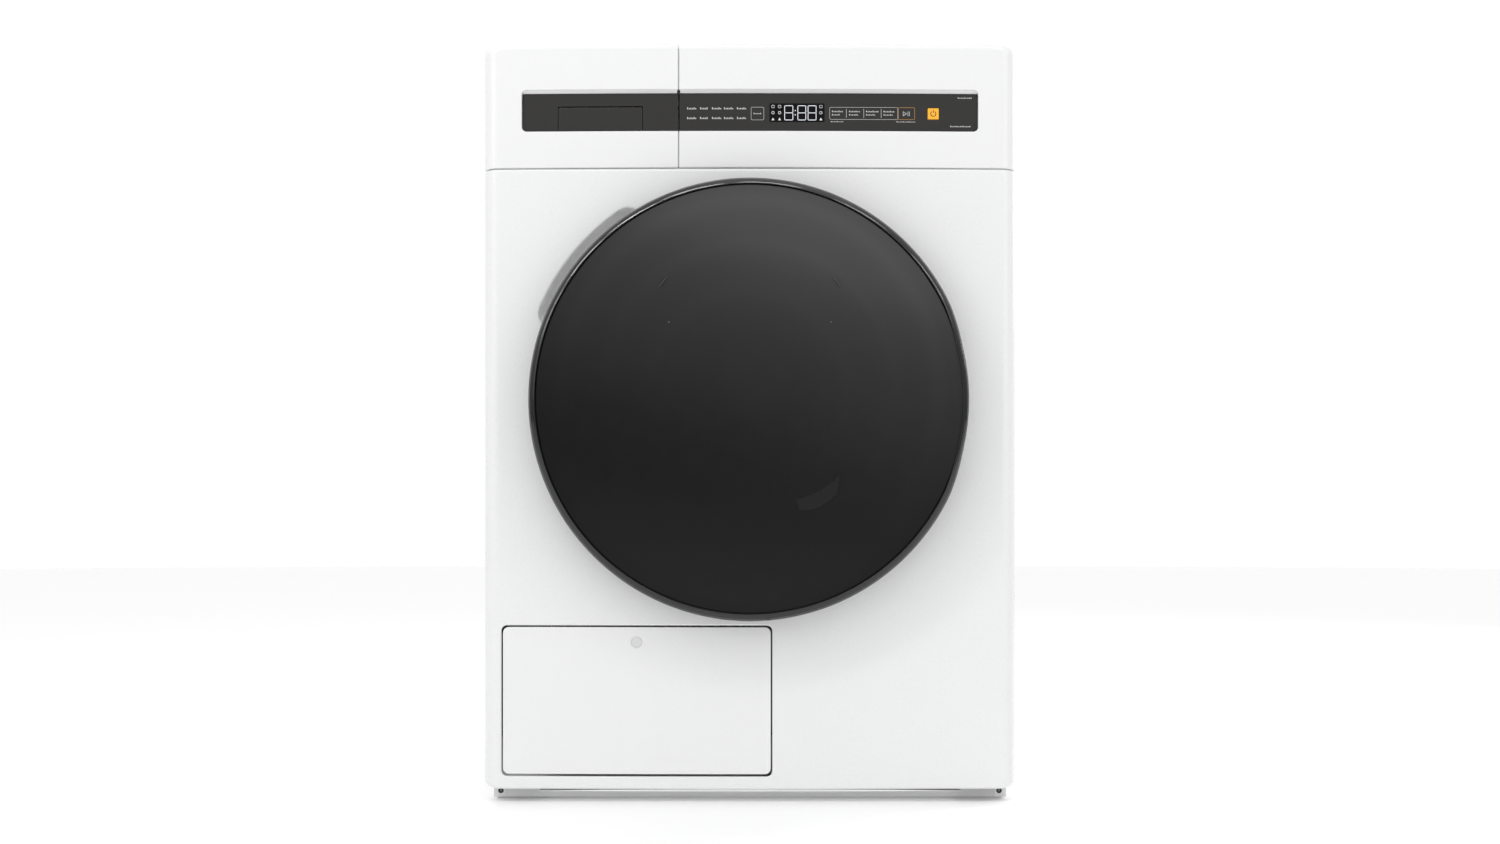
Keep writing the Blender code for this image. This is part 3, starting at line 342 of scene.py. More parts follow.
def arc(x, z, radius, start, end, steps):
    turns = [radians(start + (end - start) * i / steps) for i in range(steps + 1)]
    return [(x + radius * cos(t), z + radius * sin(t)) for t in turns]


def circle(x, z, radius, steps=48):
    return arc(x, z, radius, 0, 360, steps)[:-1]


def rounded_rect(x0, z0, x1, z1, radius, steps=6):
    corners = ((x1 - radius, z1 - radius, 0), (x0 + radius, z1 - radius, 90),
        (x0 + radius, z0 + radius, 180), (x1 - radius, z0 + radius, 270))
    return [p for x, z, start in corners for p in arc(x, z, radius, start, start + 90, steps)]


def arc_band(inner, outer, angles, grow=0.0, steps=24):
    """A band along an arc about the middle line, with round ends, grown outwards all round."""
    start, end = angles
    middle = (inner + outer) / 2
    half = (outer - inner) / 2 + grow
    first, last = (radians(a) for a in angles)
    cap_end = arc(middle * cos(last), RECESS_Z + middle * sin(last), half, end, end + 180, 10)
    cap_start = arc(middle * cos(first), RECESS_Z + middle * sin(first), half, start + 180, start + 360, 10)
    return (arc(0, RECESS_Z, outer + grow, start, end, steps)[:-1] + cap_end[:-1]
        + arc(0, RECESS_Z, inner - grow, end, start, steps)[:-1] + cap_start[:-1])


def flat_mesh(outlines, thickness, edge, resolution=2):
    """A plate drawn in (u, v), its thickness from 0 to -thickness in w, with rounded edges all round."""
    curve = bpy.data.curves.new("outline", "CURVE")
    curve.dimensions = "2D"
    curve.fill_mode = "BOTH"
    curve.extrude = thickness / 2 - edge
    curve.bevel_depth = edge
    curve.bevel_resolution = resolution
    curve.offset = -edge
    for index, outline in enumerate(outlines):
        spline = curve.splines.new("POLY")
        spline.points.add(len(outline) - 1)
        spline.use_cyclic_u = True
        turn = sum(a[0] * b[1] - b[0] * a[1] for a, b in zip(outline, outline[1:] + outline[:1]))
        points = outline if (turn > 0) == (index == 0) else outline[::-1]
        for point, (u, v) in zip(spline.points, points):
            point.co = (u, v, 0.0, 1.0)
    obj = add_object("outline", curve)
    mesh = evaluated(obj)
    bpy.data.objects.remove(obj)
    bm = bmesh.new()
    bm.from_mesh(mesh)
    bmesh.ops.remove_doubles(bm, verts=bm.verts, dist=0.000005)
    for vert in bm.verts:
        vert.co.z -= thickness / 2
    return bm


def slice_mesh(bm, axis, places):
    """Add edge loops where planes cross the mesh, so that it can bend there."""
    normal = Vector((0, 0, 0))
    normal[axis] = 1
    for place in places:
        point = normal * place
        bmesh.ops.bisect_plane(bm, geom=bm.verts[:] + bm.edges[:] + bm.faces[:], plane_co=point,
            plane_no=normal, dist=0.000002)


def crown(x):
    return FRONT + CROWN_RADIUS - sqrt(CROWN_RADIUS ** 2 - x * x)


CORNER_TURN = CORNER * pi / 2
CORNER_Y = crown(FLAT_HALF) + CORNER
SKIN_END = FLAT_HALF + CORNER_TURN + WRAP_BACK - CORNER_Y


def wrap(s, depth):
    """Plan position of a point at distance s along the skin and a depth below it."""
    side = copysign(1, s)
    past = abs(s) - FLAT_HALF
    if past <= 0:
        return s, crown(s) + depth
    if past < CORNER_TURN:
        turn = past / CORNER
        return (side * (FLAT_HALF + (CORNER - depth) * sin(turn)), CORNER_Y - (CORNER - depth) * cos(turn))
    return side * (HALF_WIDTH - depth), CORNER_Y + past - CORNER_TURN


def eased(value, start, end):
    """A smooth step from 0 at the start to 1 at the end."""
    part = min(1.0, max(0.0, (value - start) / (end - start)))
    return part * part * (3 - 2 * part)


def top_roll(s):
    """Radius of the rounding along the mouldings' top, larger at the cabinet's corners."""
    rise = eased(abs(s), FLAT_HALF - 0.01, FLAT_HALF + 0.012)
    fall = eased(abs(s), FLAT_HALF + CORNER_TURN * 0.6, SKIN_END)
    return (0.0065 + 0.0045 * rise) * (1 - fall) + 0.0028 * fall


def foot_roll(s):
    """Radius of the rounding along the front panel's lower edge."""
    return 0.0026 + 0.0074 * eased(abs(s), FLAT_HALF - 0.004, FLAT_HALF + 0.018)


def small_roll(s):
    return 0.0012


def skin_path(low, high):
    """Distances along the skin, close together round a corner and at a cut end's small rounding."""
    steps = 48
    places = [FLAT_HALF * (2 * i / steps - 1) for i in range(steps + 1)]
    for side in (-1, 1):
        places += [side * (FLAT_HALF + CORNER_TURN * i / 12) for i in range(1, 13)] + [side * SKIN_END]
    inside = [p for p in places if low + 0.002 < p < high - 0.002]
    return sorted([low, high] + inside)


def join_rows(bm, row, following):
    """Quads between two closed rows of vertices."""
    for i in range(len(row)):
        j = (i + 1) % len(row)
        bm.faces.new((row[i], row[j], following[j], following[i]))


def skin_solid(low, high, bottom, top, inset=0.0, low_roll=small_roll, high_roll=small_roll, cut_ends=True):
    """A block between the front skin and the line where it stops, with its edges rolled over."""
    path = skin_path(low, high)
    turns = (0, 15, 30, 45, 60, 75, 90)
    levels = [(a, -1) for a in reversed(turns)] + [(a, 1) for a in turns]
    rings = []
    for turn, side in levels:
        ring = []
        for s in path:
            radius = (high_roll if side > 0 else low_roll)(s)
            sine, cosine = sin(radians(turn)), cos(radians(turn))
            edge = top if side > 0 else bottom
            end = min(s - low, high - s)
            past_end = 0.0011 if cut_ends and end < 0.0001 and abs(s) < FLAT_HALF else 0.0
            x, y = wrap(s, inset + past_end + radius * (1 - cosine))
            ring.append((x, y, edge + side * radius * (sine - 1)))
            if past_end and s == low:
                ring.append((x + 0.0004, y - 0.0008, edge + side * radius * (sine - 1)))
            if past_end and s == high:
                ring.insert(-1, (x - 0.0004, y - 0.0008, edge + side * radius * (sine - 1)))
        for s in (high, low):
            x = wrap(s, inset)[0]
            ring.append((x, WRAP_BACK + (0.0 if inset == 0 else 0.02), edge + side * 0.0012 * (sine - 1)))
        rings.append(ring)
    return mesh_from(loft(rings))


def skin_sheet(bottom, top, wall, low_roll, high_roll):
    """A sheet folded over along its lower and upper edges, wrapped round the whole front."""
    path = skin_path(-SKIN_END, SKIN_END)
    turns = (90, 72, 54, 36, 18, 0)
    levels = [(a, -1) for a in turns] + [(a, 1) for a in reversed(turns)]
    bm = bmesh.new()
    rows = []
    for turn, side in levels:
        sine, cosine = sin(radians(turn)), cos(radians(turn))
        edge = top if side > 0 else bottom
        row = []
        for reach in (0.0, wall):
            line = []
            for s in path:
                radius = (high_roll if side > 0 else low_roll)(s)
                x, y = wrap(s, radius - (radius - reach) * cosine)
                line.append(bm.verts.new((x, y, edge - side * (radius - (radius - reach) * sine))))
            row.append(line)
        rows.append(row[0] + row[1][::-1])
    count = len(rows[0])
    for row, following in zip(rows, rows[1:]):
        join_rows(bm, row, following)
    for row in (rows[0], rows[-1]):
        for i in range(len(path) - 1):
            bm.faces.new((row[i], row[i + 1], row[count - 2 - i], row[count - 1 - i]))
    return mesh_from(bm)


def skin_normal(x, y):
    """Outward direction of the front skin at a point in plan."""
    side = copysign(1, x)
    if abs(x) <= FLAT_HALF:
        return Vector((x / CROWN_RADIUS, -sqrt(1 - (x / CROWN_RADIUS) ** 2), 0))
    if y >= CORNER_Y:
        return Vector((side, 0, 0))
    turn = atan2(abs(x) - FLAT_HALF, CORNER_Y - y)
    start = FLAT_HALF / CROWN_RADIUS
    turn = start + (pi / 2 - start) * turn / (pi / 2)
    return Vector((side * sin(turn), -cos(turn), 0))


def smooth_skin(mesh):
    """Shade the front skin by its true curve, so that openings cut in it leave no streaks."""
    normals = [Vector(c.vector) for c in mesh.corner_normals]
    for face in mesh.polygons:
        if abs(face.normal.z) > 0.06:
            continue
        middle = face.center
        if face.normal.dot(skin_normal(middle.x, middle.y)) < 0.985:
            continue
        for loop in face.loop_indices:
            co = mesh.vertices[mesh.loops[loop].vertex_index].co
            normals[loop] = skin_normal(co.x, co.y)
    mesh.normals_split_custom_set([tuple(n) for n in normals])
    return mesh


def skin_cutter(outline, lip, depth, start=0.006):
    """Cuts an opening through the skin with its lip rounded over; the outline is the opening's own edge."""
    rings = [(lip, -start)]
    rings += [(lip * (1 - sin(radians(a))), lip * (1 - cos(radians(a))))
        for a in (2, 15, 30, 45, 60, 75, 90)]
    rings += [(0.0, depth)]
    loops = []
    for grow, inward in rings:
        loops.append([(x, crown(x) + inward, z) for x, z in grown(outline, grow)])
    return mesh_from(loft(loops))


def neighbours(points, i):
    """The point before, the point itself and the one after, in a closed outline."""
    return [Vector(points[(i + k) % len(points)]) for k in (-1, 0, 1)]


def grown(outline, amount):
    """An anticlockwise outline moved outwards, each point along the mean of its two edges' normals."""
    result = []
    for i in range(len(outline)):
        before, here, after = neighbours(outline, i)
        first, second = (here - before).normalized(), (after - here).normalized()
        normal = Vector((first.y + second.y, -first.x - second.x))
        if normal.length < 1e-9:
            result.append(tuple(here))
            continue
        normal.normalize()
        reach = amount / max(0.4, normal.dot(Vector((first.y, -first.x))))
        result.append(tuple(here + normal * reach))
    return result


def refined(outline, step=0.012):
    """Extra points along an outline's long edges, so that it can follow the crown."""
    result = []
    for i, here in enumerate(outline):
        after = outline[(i + 1) % len(outline)]
        length = dist(here, after)
        parts = max(1, ceil(length / step))
        result += [(here[0] + (after[0] - here[0]) * k / parts, here[1] + (after[1] - here[1]) * k / parts)
            for k in range(parts)]
    return result


def skin_plate(outlines, depth, thickness, edge=0.0005):
    """A plate that follows the crown, at a depth below the front skin."""
    bm = flat_mesh(outlines, thickness, edge)
    xs = [v.co.x for v in bm.verts]
    slice_mesh(bm, 0, [i * 0.012 for i in range(-23, 24) if min(xs) + 0.001 < i * 0.012 < max(xs) - 0.001])
    for vert in bm.verts:
        x, z, inward = vert.co.x, vert.co.y, -vert.co.z
        vert.co = (x, crown(x) + depth + inward, z)
    return mesh_from(bm)


def stamped(shapes, depth, thickness=0.0002):
    """Thin marks that follow the crown: plain outlines, or pairs of outlines for a frame."""
    bm = bmesh.new()
    for shape in shapes:
        is_frame = isinstance(shape[0][0], tuple)
        loops = shape if is_frame else [shape]
        layers = []
        for inward in (0.0, thickness):
            layers.append([[bm.verts.new((x, crown(x) + depth + inward, z)) for x, z in loop]
                for loop in loops])
        for front, back in zip(*layers):
            join_rows(bm, front, back)
        for layer in layers:
            if is_frame:
                join_rows(bm, *layer)
            else:
                bm.faces.new(layer[0])
    return mesh_from(bm)


def plane_piece(outlines, y_front, thickness, edge=0.0004, resolution=1):
    """A flat plate standing across the machine, its front face at y_front."""
    bm = flat_mesh(outlines, thickness, edge, resolution)
    for vert in bm.verts:
        vert.co = (vert.co.x, y_front - vert.co.z, vert.co.y)
    return mesh_from(bm)


def level_piece(outlines, z_top, thickness, edge=0.0004):
    """A flat plate lying level, its top at z_top."""
    bm = flat_mesh(outlines, thickness, edge)
    for vert in bm.verts:
        vert.co.z += z_top
    return mesh_from(bm)


def loft(rings):
    """Skin a row of rings, each with the same number of points, and close both ends."""
    bm = bmesh.new()
    rows = [[bm.verts.new(p) for p in ring] for ring in rings]
    for row, following in zip(rows, rows[1:]):
        join_rows(bm, row, following)
    ends = [bm.faces.new(rows[0][::-1]), bm.faces.new(rows[-1])]
    bmesh.ops.triangulate(bm, faces=ends)
    return bm


def turned(profile, x, z, steps=128, axis="Y", sharp=35):
    """Turn a closed profile of (radius, distance along the axis); points on the axis become one point."""
    bm = bmesh.new()
    rows = []
    for radius, along in profile:
        count = 1 if radius == 0 else steps
        ring = []
        for i in range(count):
            turn = tau * i / steps
            a, b = radius * cos(turn), radius * sin(turn)
            co = {"Y": (x + a, along, z + b), "Z": (x + a, z + b, along)}[axis]
            ring.append(bm.verts.new(co))
        rows.append(ring)
    closed = profile[0][0] > 0
    for row, following in zip(rows, rows[1:] + (rows[:1] if closed else [])):
        for i in range(steps):
            j = (i + 1) % steps
            corners = [row[i % len(row)], row[j % len(row)], following[j % len(following)],
                following[i % len(following)]]
            unique = list(dict.fromkeys(corners))
            if len(unique) > 2:
                bm.faces.new(unique)
    return mesh_from(bm, sharp)


def rounded_profile(points, radius, steps=4):
    """Round the corners of a profile that has at least three points."""
    result = []
    for i in range(len(points)):
        before, here, after = neighbours(points, i)
        if here.x == 0:
            result.append(tuple(here))
            continue
        to_before, to_after = before - here, after - here
        reach = min(radius, to_before.length * 0.45, to_after.length * 0.45)
        start = here + to_before.normalized() * reach
        end = here + to_after.normalized() * reach
        for k in range(steps + 1):
            t = k / steps
            result.append(tuple((1 - t) ** 2 * start + 2 * t * (1 - t) * here + t * t * end))
    return result


def block(low, high, bevel=0.001, segments=3):
    bm = bmesh.new()
    bmesh.ops.create_cube(bm, size=1.0)
    low, high = Vector(low), Vector(high)
    bmesh.ops.scale(bm, vec=high - low, verts=bm.verts)
    bmesh.ops.translate(bm, vec=(low + high) / 2, verts=bm.verts)
    if bevel:
        bmesh.ops.bevel(bm, geom=bm.edges[:], offset=bevel, segments=segments, profile=0.5, affect="EDGES")
    return mesh_from(bm)


def boolean(mesh, tool_mesh):
    """One mesh cut by another."""
    for operand in (mesh, tool_mesh):
        bm = bmesh.new()
        bm.from_mesh(operand)
        bmesh.ops.remove_doubles(bm, verts=bm.verts, dist=0.000002)
        bmesh.ops.dissolve_degenerate(bm, dist=0.000001, edges=bm.edges)
        bmesh.ops.triangulate(bm, faces=bm.faces)
        bmesh.ops.recalc_face_normals(bm, faces=bm.faces)
        bm.to_mesh(operand)
        bm.free()
    body = add_object("body", mesh)
    tool = add_object("tool", tool_mesh)
    modifier = body.modifiers.new("cut", "BOOLEAN")
    modifier.operation = "DIFFERENCE"
    modifier.solver = "MANIFOLD"
    modifier.object = tool
    result = evaluated(body)
    bpy.data.objects.remove(body)
    bpy.data.objects.remove(tool)
    result.shade_smooth()
    result.set_sharp_from_angle(angle=radians(35))
    return result


def merged(meshes, sharp=35):
    """Several meshes as one, for repeated small details."""
    bm = bmesh.new()
    for mesh in meshes:
        bm.from_mesh(mesh)
    return mesh_from(bm, sharp)


# ---------------------------------------------------------------- front skin

def build_front_panel():
    low, high = PANEL_LOW.z, PANEL_HIGH.z
    shell = skin_sheet(low, high, 0.0022, foot_roll, lambda s: 0.0026)
    mouth = skin_cutter(circle(0, MOUTH.z, 0.1925, 120), 0.002, 0.012)
    flap = skin_cutter(refined(rounded_rect(-0.2772, 0.0285, 0.0247, 0.1964, 0.0062)), 0.0019, 0.03)
    grip = skin_cutter(arc_band(*RECESS_RADII, RECESS_ANGLES), 0.004, 0.012)
    hook = skin_cutter(rounded_rect(-0.2195, 0.436, -0.2025, 0.46, 0.0015, 3), 0.0006, 0.012)
    for tool in (mouth, flap, grip, hook):
        shell = boolean(shell, tool)
    piece("front_panel_skin", smooth_skin(shell), ENAMEL, "cabinet", ("front_panel",),
        False)


def moulding_mesh(low, high, window):
    shell = skin_solid(low, high, FASCIA_BOTTOM, TOP, high_roll=top_roll)
    room = 0.0045
    hollow = skin_solid(low + (room if abs(low) < FLAT_HALF else 0.004),
        high - (room if abs(high) < FLAT_HALF else 0.004), FASCIA_BOTTOM - 0.02, TOP - 0.004, 0.0075,
        high_roll=top_roll)
    shell = boolean(shell, hollow)
    return boolean(shell, skin_cutter(refined(window), 0.0012, 0.02))


def build_mouldings():
    right = rounded_rect(SEAM - 0.05, STRIP_LOW, STRIP_HALF, STRIP_HIGH, STRIP_CORNER)
    left = rounded_rect(-STRIP_HALF, STRIP_LOW, SEAM + 0.05, STRIP_HIGH, STRIP_CORNER)
    fascia = moulding_mesh(FASCIA_LOW.x, SKIN_END, right)
    piece("control_fascia_moulding", smooth_skin(fascia), MOULDED, "cabinet",
        ("control_fascia",), False)
    front = moulding_mesh(-SKIN_END, TANK_HIGH.x, left)
    piece("tank_front_moulding", smooth_skin(front), MOULDED, "tank_drawer",
        ("tank_front",), False)
    reveals = (("tank_strip_reveal", "tank_drawer", -STRIP_HALF + 0.001, TANK_HIGH.x - 0.0012),
               ("fascia_strip_reveal", "cabinet", FASCIA_LOW.x + 0.0012, STRIP_HALF - 0.001))
    profile = ((0.001, 0.794), (0.0011, 0.7931), (0.0016, 0.7924), (0.004, 0.79), (0.005, 0.7898),
               (0.007, 0.7905), (0.007, 0.794))
    for name, body, x0, x1 in reveals:
        rings = []
        for k in range(25):
            x = x0 + (x1 - x0) * k / 24
            rings.append([(x, crown(x) + inward, z) for inward, z in profile])
        piece(name, mesh_from(loft(rings)), MOULDED, body)
    beads = []
    for z0, z1 in ((FASCIA_BOTTOM + 0.001, STRIP_LOW - 0.001), (STRIP_HIGH + 0.001, TOP - 0.008)):
        outline = rounded_rect(SEAM - 0.0003, z0, SEAM + 0.0003, z1, 0.0002, 2)
        beads.append(skin_plate([outline], 0.0022, 0.012, 0.0001))
    piece("seam_bead", merged(beads), MOULDED, "cabinet")
    backing = skin_solid(-SKIN_END + 0.003, SKIN_END - 0.003, FASCIA_BOTTOM - 0.0035,
        FASCIA_BOTTOM - 0.0002, 0.0026, cut_ends=False)
    room = block((-0.29, FRONT + 0.0125, 0.69), (0.29, 0.0, 0.72), 0)
    piece("seam_backing", boolean(backing, room), MOULDED, "cabinet")


# ---------------------------------------------------------------- control strip

def half_round(x0, z0, x1, z1, radius, round_left, round_right):
    """A rectangle with only its left or right corners rounded."""
    result = []
    for x, z, start, is_right in ((x1, z1, 0, True), (x0, z1, 90, False), (x0, z0, 180, False),
            (x1, z0, 270, True)):
        if round_right if is_right else round_left:
            cx, cz = x - radius if is_right else x + radius, z - radius if z == z1 else z + radius
            result += arc(cx, cz, radius, start, start + 90, 6)
        else:
            result.append((x, z))
    return result


def frame_shape(x0, z0, x1, z1, radius, line):
    return [rounded_rect(x0, z0, x1, z1, radius, 5),
            rounded_rect(x0 + line, z0 + line, x1 - line, z1 - line, max(0.0002, radius - line), 5)]


def word_marks(x0, x1, z, height=0.0023):
    """A row of short strokes standing for a label, with no lettering."""
    marks = []
    pattern = (0.9, 0.55, 0.75, 0.6, 0.95, 0.55, 0.7, 0.85)
    x, index = x0, 0
    while x < x1 - 0.0008:
        tall = height * (1.0 if index == 0 else pattern[index % 8])
        marks.append([(x, z - height / 2), (x + 0.0011, z - height / 2),
            (x + 0.0011, z - height / 2 + tall), (x, z - height / 2 + tall)])
        x += 0.0018
        index += 1
    return marks


def digit_marks(x0, x1, z0, z1):
    """The seven strokes of a lit digit."""
    half, gap = 0.00031, 0.00018
    middle = (z0 + z1) / 2
    left, right, low, high = x0 + half, x1 - half, z0 + half, z1 - half

    def level(z):
        a, b = left + gap, right - gap
        return [(a, z), (a + half, z - half), (b - half, z - half), (b, z), (b - half, z + half),
            (a + half, z + half)]

    def upright(x, a, b):
        a, b = a + gap, b - gap
        return [(x, a), (x + half, a + half), (x + half, b - half), (x, b), (x - half, b - half),
            (x - half, a + half)]

    return [level(high), upright(right, middle, high), upright(right, low, middle), level(low),
            upright(left, low, middle), upright(left, middle, high), level(middle)]


def build_strip():
    glass = half_round(SEAM + 0.0009, GLASS_LOW, STRIP_HALF - 0.0007, GLASS_HIGH, STRIP_CORNER - 0.0007,
        False, True)
    key_x, key_z = centre("power_button").x, centre("power_button").z
    key_hole = rounded_rect(key_x - 0.0066, key_z - 0.0066, key_x + 0.0066, key_z + 0.0066, 0.0012, 3)
    mesh = skin_plate([glass, key_hole], STRIP_DEPTH, 0.003, 0.0003)
    piece("strip_glass", mesh, GLASS_STRIP, "cabinet", ("control_glass",))
    left, right = GRIP_LOW_CORNER.x - 0.0005, GRIP_HIGH_CORNER.x + 0.0005
    top = GRIP_HIGH_CORNER.z + 0.0011
    band = half_round(-STRIP_HALF + 0.0007, GLASS_LOW, SEAM - 0.0009, GLASS_HIGH, STRIP_CORNER - 0.0007,
        True, False)
    start = next(i for i, p in enumerate(band) if p[1] < 0.76)
    notch = [(left, GLASS_LOW), (left, top - 0.001), (left + 0.001, top), (right - 0.001, top),
        (right, top - 0.001), (right, GLASS_LOW)]
    lower_left = [p for p in band[start:] if p[0] < left]
    band = band[:start] + lower_left + notch + [p for p in band[start:] if p[0] > right]
    mesh = skin_plate([band], STRIP_DEPTH, 0.003, 0.0003)
    piece("tank_strip_band", mesh, GLASS_STRIP, "tank_drawer", ("tank_band",))
    panel = rounded_rect(GRIP_LOW_CORNER.x, GRIP_LOW_CORNER.z + 0.0002, GRIP_HIGH_CORNER.x,
        GRIP_HIGH_CORNER.z, 0.0012)
    mesh = skin_plate([panel], STRIP_DEPTH + 0.0004, 0.0022, 0.0005)
    ribs = [block((x - 0.0006, crown(x) + 0.0066, 0.75), (x + 0.0006, crown(x) + 0.0094, 0.7715), 0.0002)
        for x in (-0.203, -0.185, -0.167, -0.149, -0.131)]
    piece("grip_flap_face", merged([mesh] + ribs), GLASS_STRIP, "grip", ("grip_flap",))

    face = STRIP_DEPTH - 0.00012
    labels = []
    for row in (0.773, 0.7622):
        for x0, x1 in ((-0.0701, -0.059), (-0.0556, -0.0462), (-0.0423, -0.0311), (-0.0289, -0.0178),
                (-0.0145, -0.0044)):
            labels += word_marks(x0, x1, row)
    labels += word_marks(0.004, 0.013, 0.7672, 0.0014)
    for x0, x1 in ((0.0915, 0.104), (0.1105, 0.1235), (0.1295, 0.143), (0.149, 0.162)):
        labels += word_marks(x0, x1, 0.7697, 0.0017)
        labels += word_marks(x0, x1 - 0.003, 0.766, 0.0015)
    labels += word_marks(0.2235, 0.2475, 0.7535, 0.0015) + word_marks(0.232, 0.2475, 0.7853, 0.0014)
    labels += word_marks(0.0901, 0.1035, 0.7583, 0.0011) + word_marks(0.1635, 0.1858, 0.7583, 0.0011)
    piece("strip_labels", stamped(labels, face), DIM_MARK, "cabinet")

    lines = [frame_shape(0.0011, 0.7599, 0.0156, 0.7744, 0.0016, 0.00036),
        frame_shape(0.0887, 0.7606, 0.1651, 0.7744, 0.0016, 0.00032)]
    lines += [[(x, 0.7625), (x + 0.0004, 0.7625), (x + 0.0004, 0.7725), (x, 0.7725)]
        for x in (0.1073, 0.1267, 0.1461)]
    piece("strip_lines", stamped(lines, face), DIM_MARK, "cabinet")
    start_key = [frame_shape(0.1651, 0.7606, 0.184, 0.7744, 0.0016, 0.0005)]
    glyph = [[[(0.1707, 0.7646), (0.1751, 0.7673), (0.1707, 0.77)],
        [(0.1712, 0.7655), (0.1741, 0.7673), (0.1712, 0.7691)]],
        [(0.176, 0.7648), (0.1765, 0.7648), (0.1765, 0.7698), (0.176, 0.7698)],
        [(0.1776, 0.7648), (0.1781, 0.7648), (0.1781, 0.7698), (0.1776, 0.7698)]]
    piece("start_key_glyph", stamped(glyph, face), DIM_MARK, "cabinet")
    piece("start_key_marks", stamped(start_key, face), AMBER_LINE, "cabinet")

    window = rounded_rect(0.0217, 0.7577, 0.0831, 0.7785, 0.0008, 3)
    piece("display_window", stamped([refined(window)], STRIP_DEPTH - 0.00006, 0.0002), DISPLAY_BLACK,
        "cabinet")
    digits = []
    for x0, x1 in ((0.0383, 0.0481), (0.053, 0.0625), (0.0644, 0.074)):
        digits += digit_marks(x0, x1, 0.7597, 0.7762)
    digits += [circle(0.0505, z, 0.0006, 10) for z in (0.7657, 0.7705)]
    piece("display_digits", stamped(digits, face - 0.0001), DIGIT_LIGHT, "cabinet")
    icons = []
    for x in (0.0256, 0.033, 0.079):
        icons += [frame_shape(x - 0.0017, 0.7733, x + 0.0017, 0.7765, 0.0008, 0.0004),
            [circle(x, 0.7681, 0.0017, 16), circle(x, 0.7681, 0.0012, 16)],
            [(x - 0.0016, 0.7597), (x + 0.0016, 0.7597), (x, 0.7625)]]
    piece("display_icons", stamped(icons, face - 0.0001), WHITE_MARK, "cabinet")


def build_power_key():
    low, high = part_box("power_button")
    key = block(low, high, 0.0009)
    piece("power_key_cap", key, AMBER, "power_key", ("power_button",))
    x, z = centre("power_button").x, centre("power_button").z
    ring = arc(x, z, 0.0033, 125, 415, 24) + arc(x, z, 0.0024, 415, 125, 24)
    stroke = [(x - 0.00045, z + 0.0007), (x + 0.00045, z + 0.0007), (x + 0.00045, z + 0.004),
        (x - 0.00045, z + 0.004)]
    glyph = merged([plane_piece([shape], low.y - 0.0001, 0.0003, 0.00005) for shape in (ring, stroke)])
    piece("power_glyph", glyph, BLACK_PLASTIC, "power_key")


# ---------------------------------------------------------------- door

def hinge_room():
    return turned([(0.0, 0.394), (0.021, 0.394), (0.021, 0.498), (0.0, 0.498)], HINGE.x, HINGE.y, 48, "Z")


# How far the rim stands out past the CAD ring. It's taken back near the hinge, to clear the panel.
RIM_OVERHANG = 0.0028


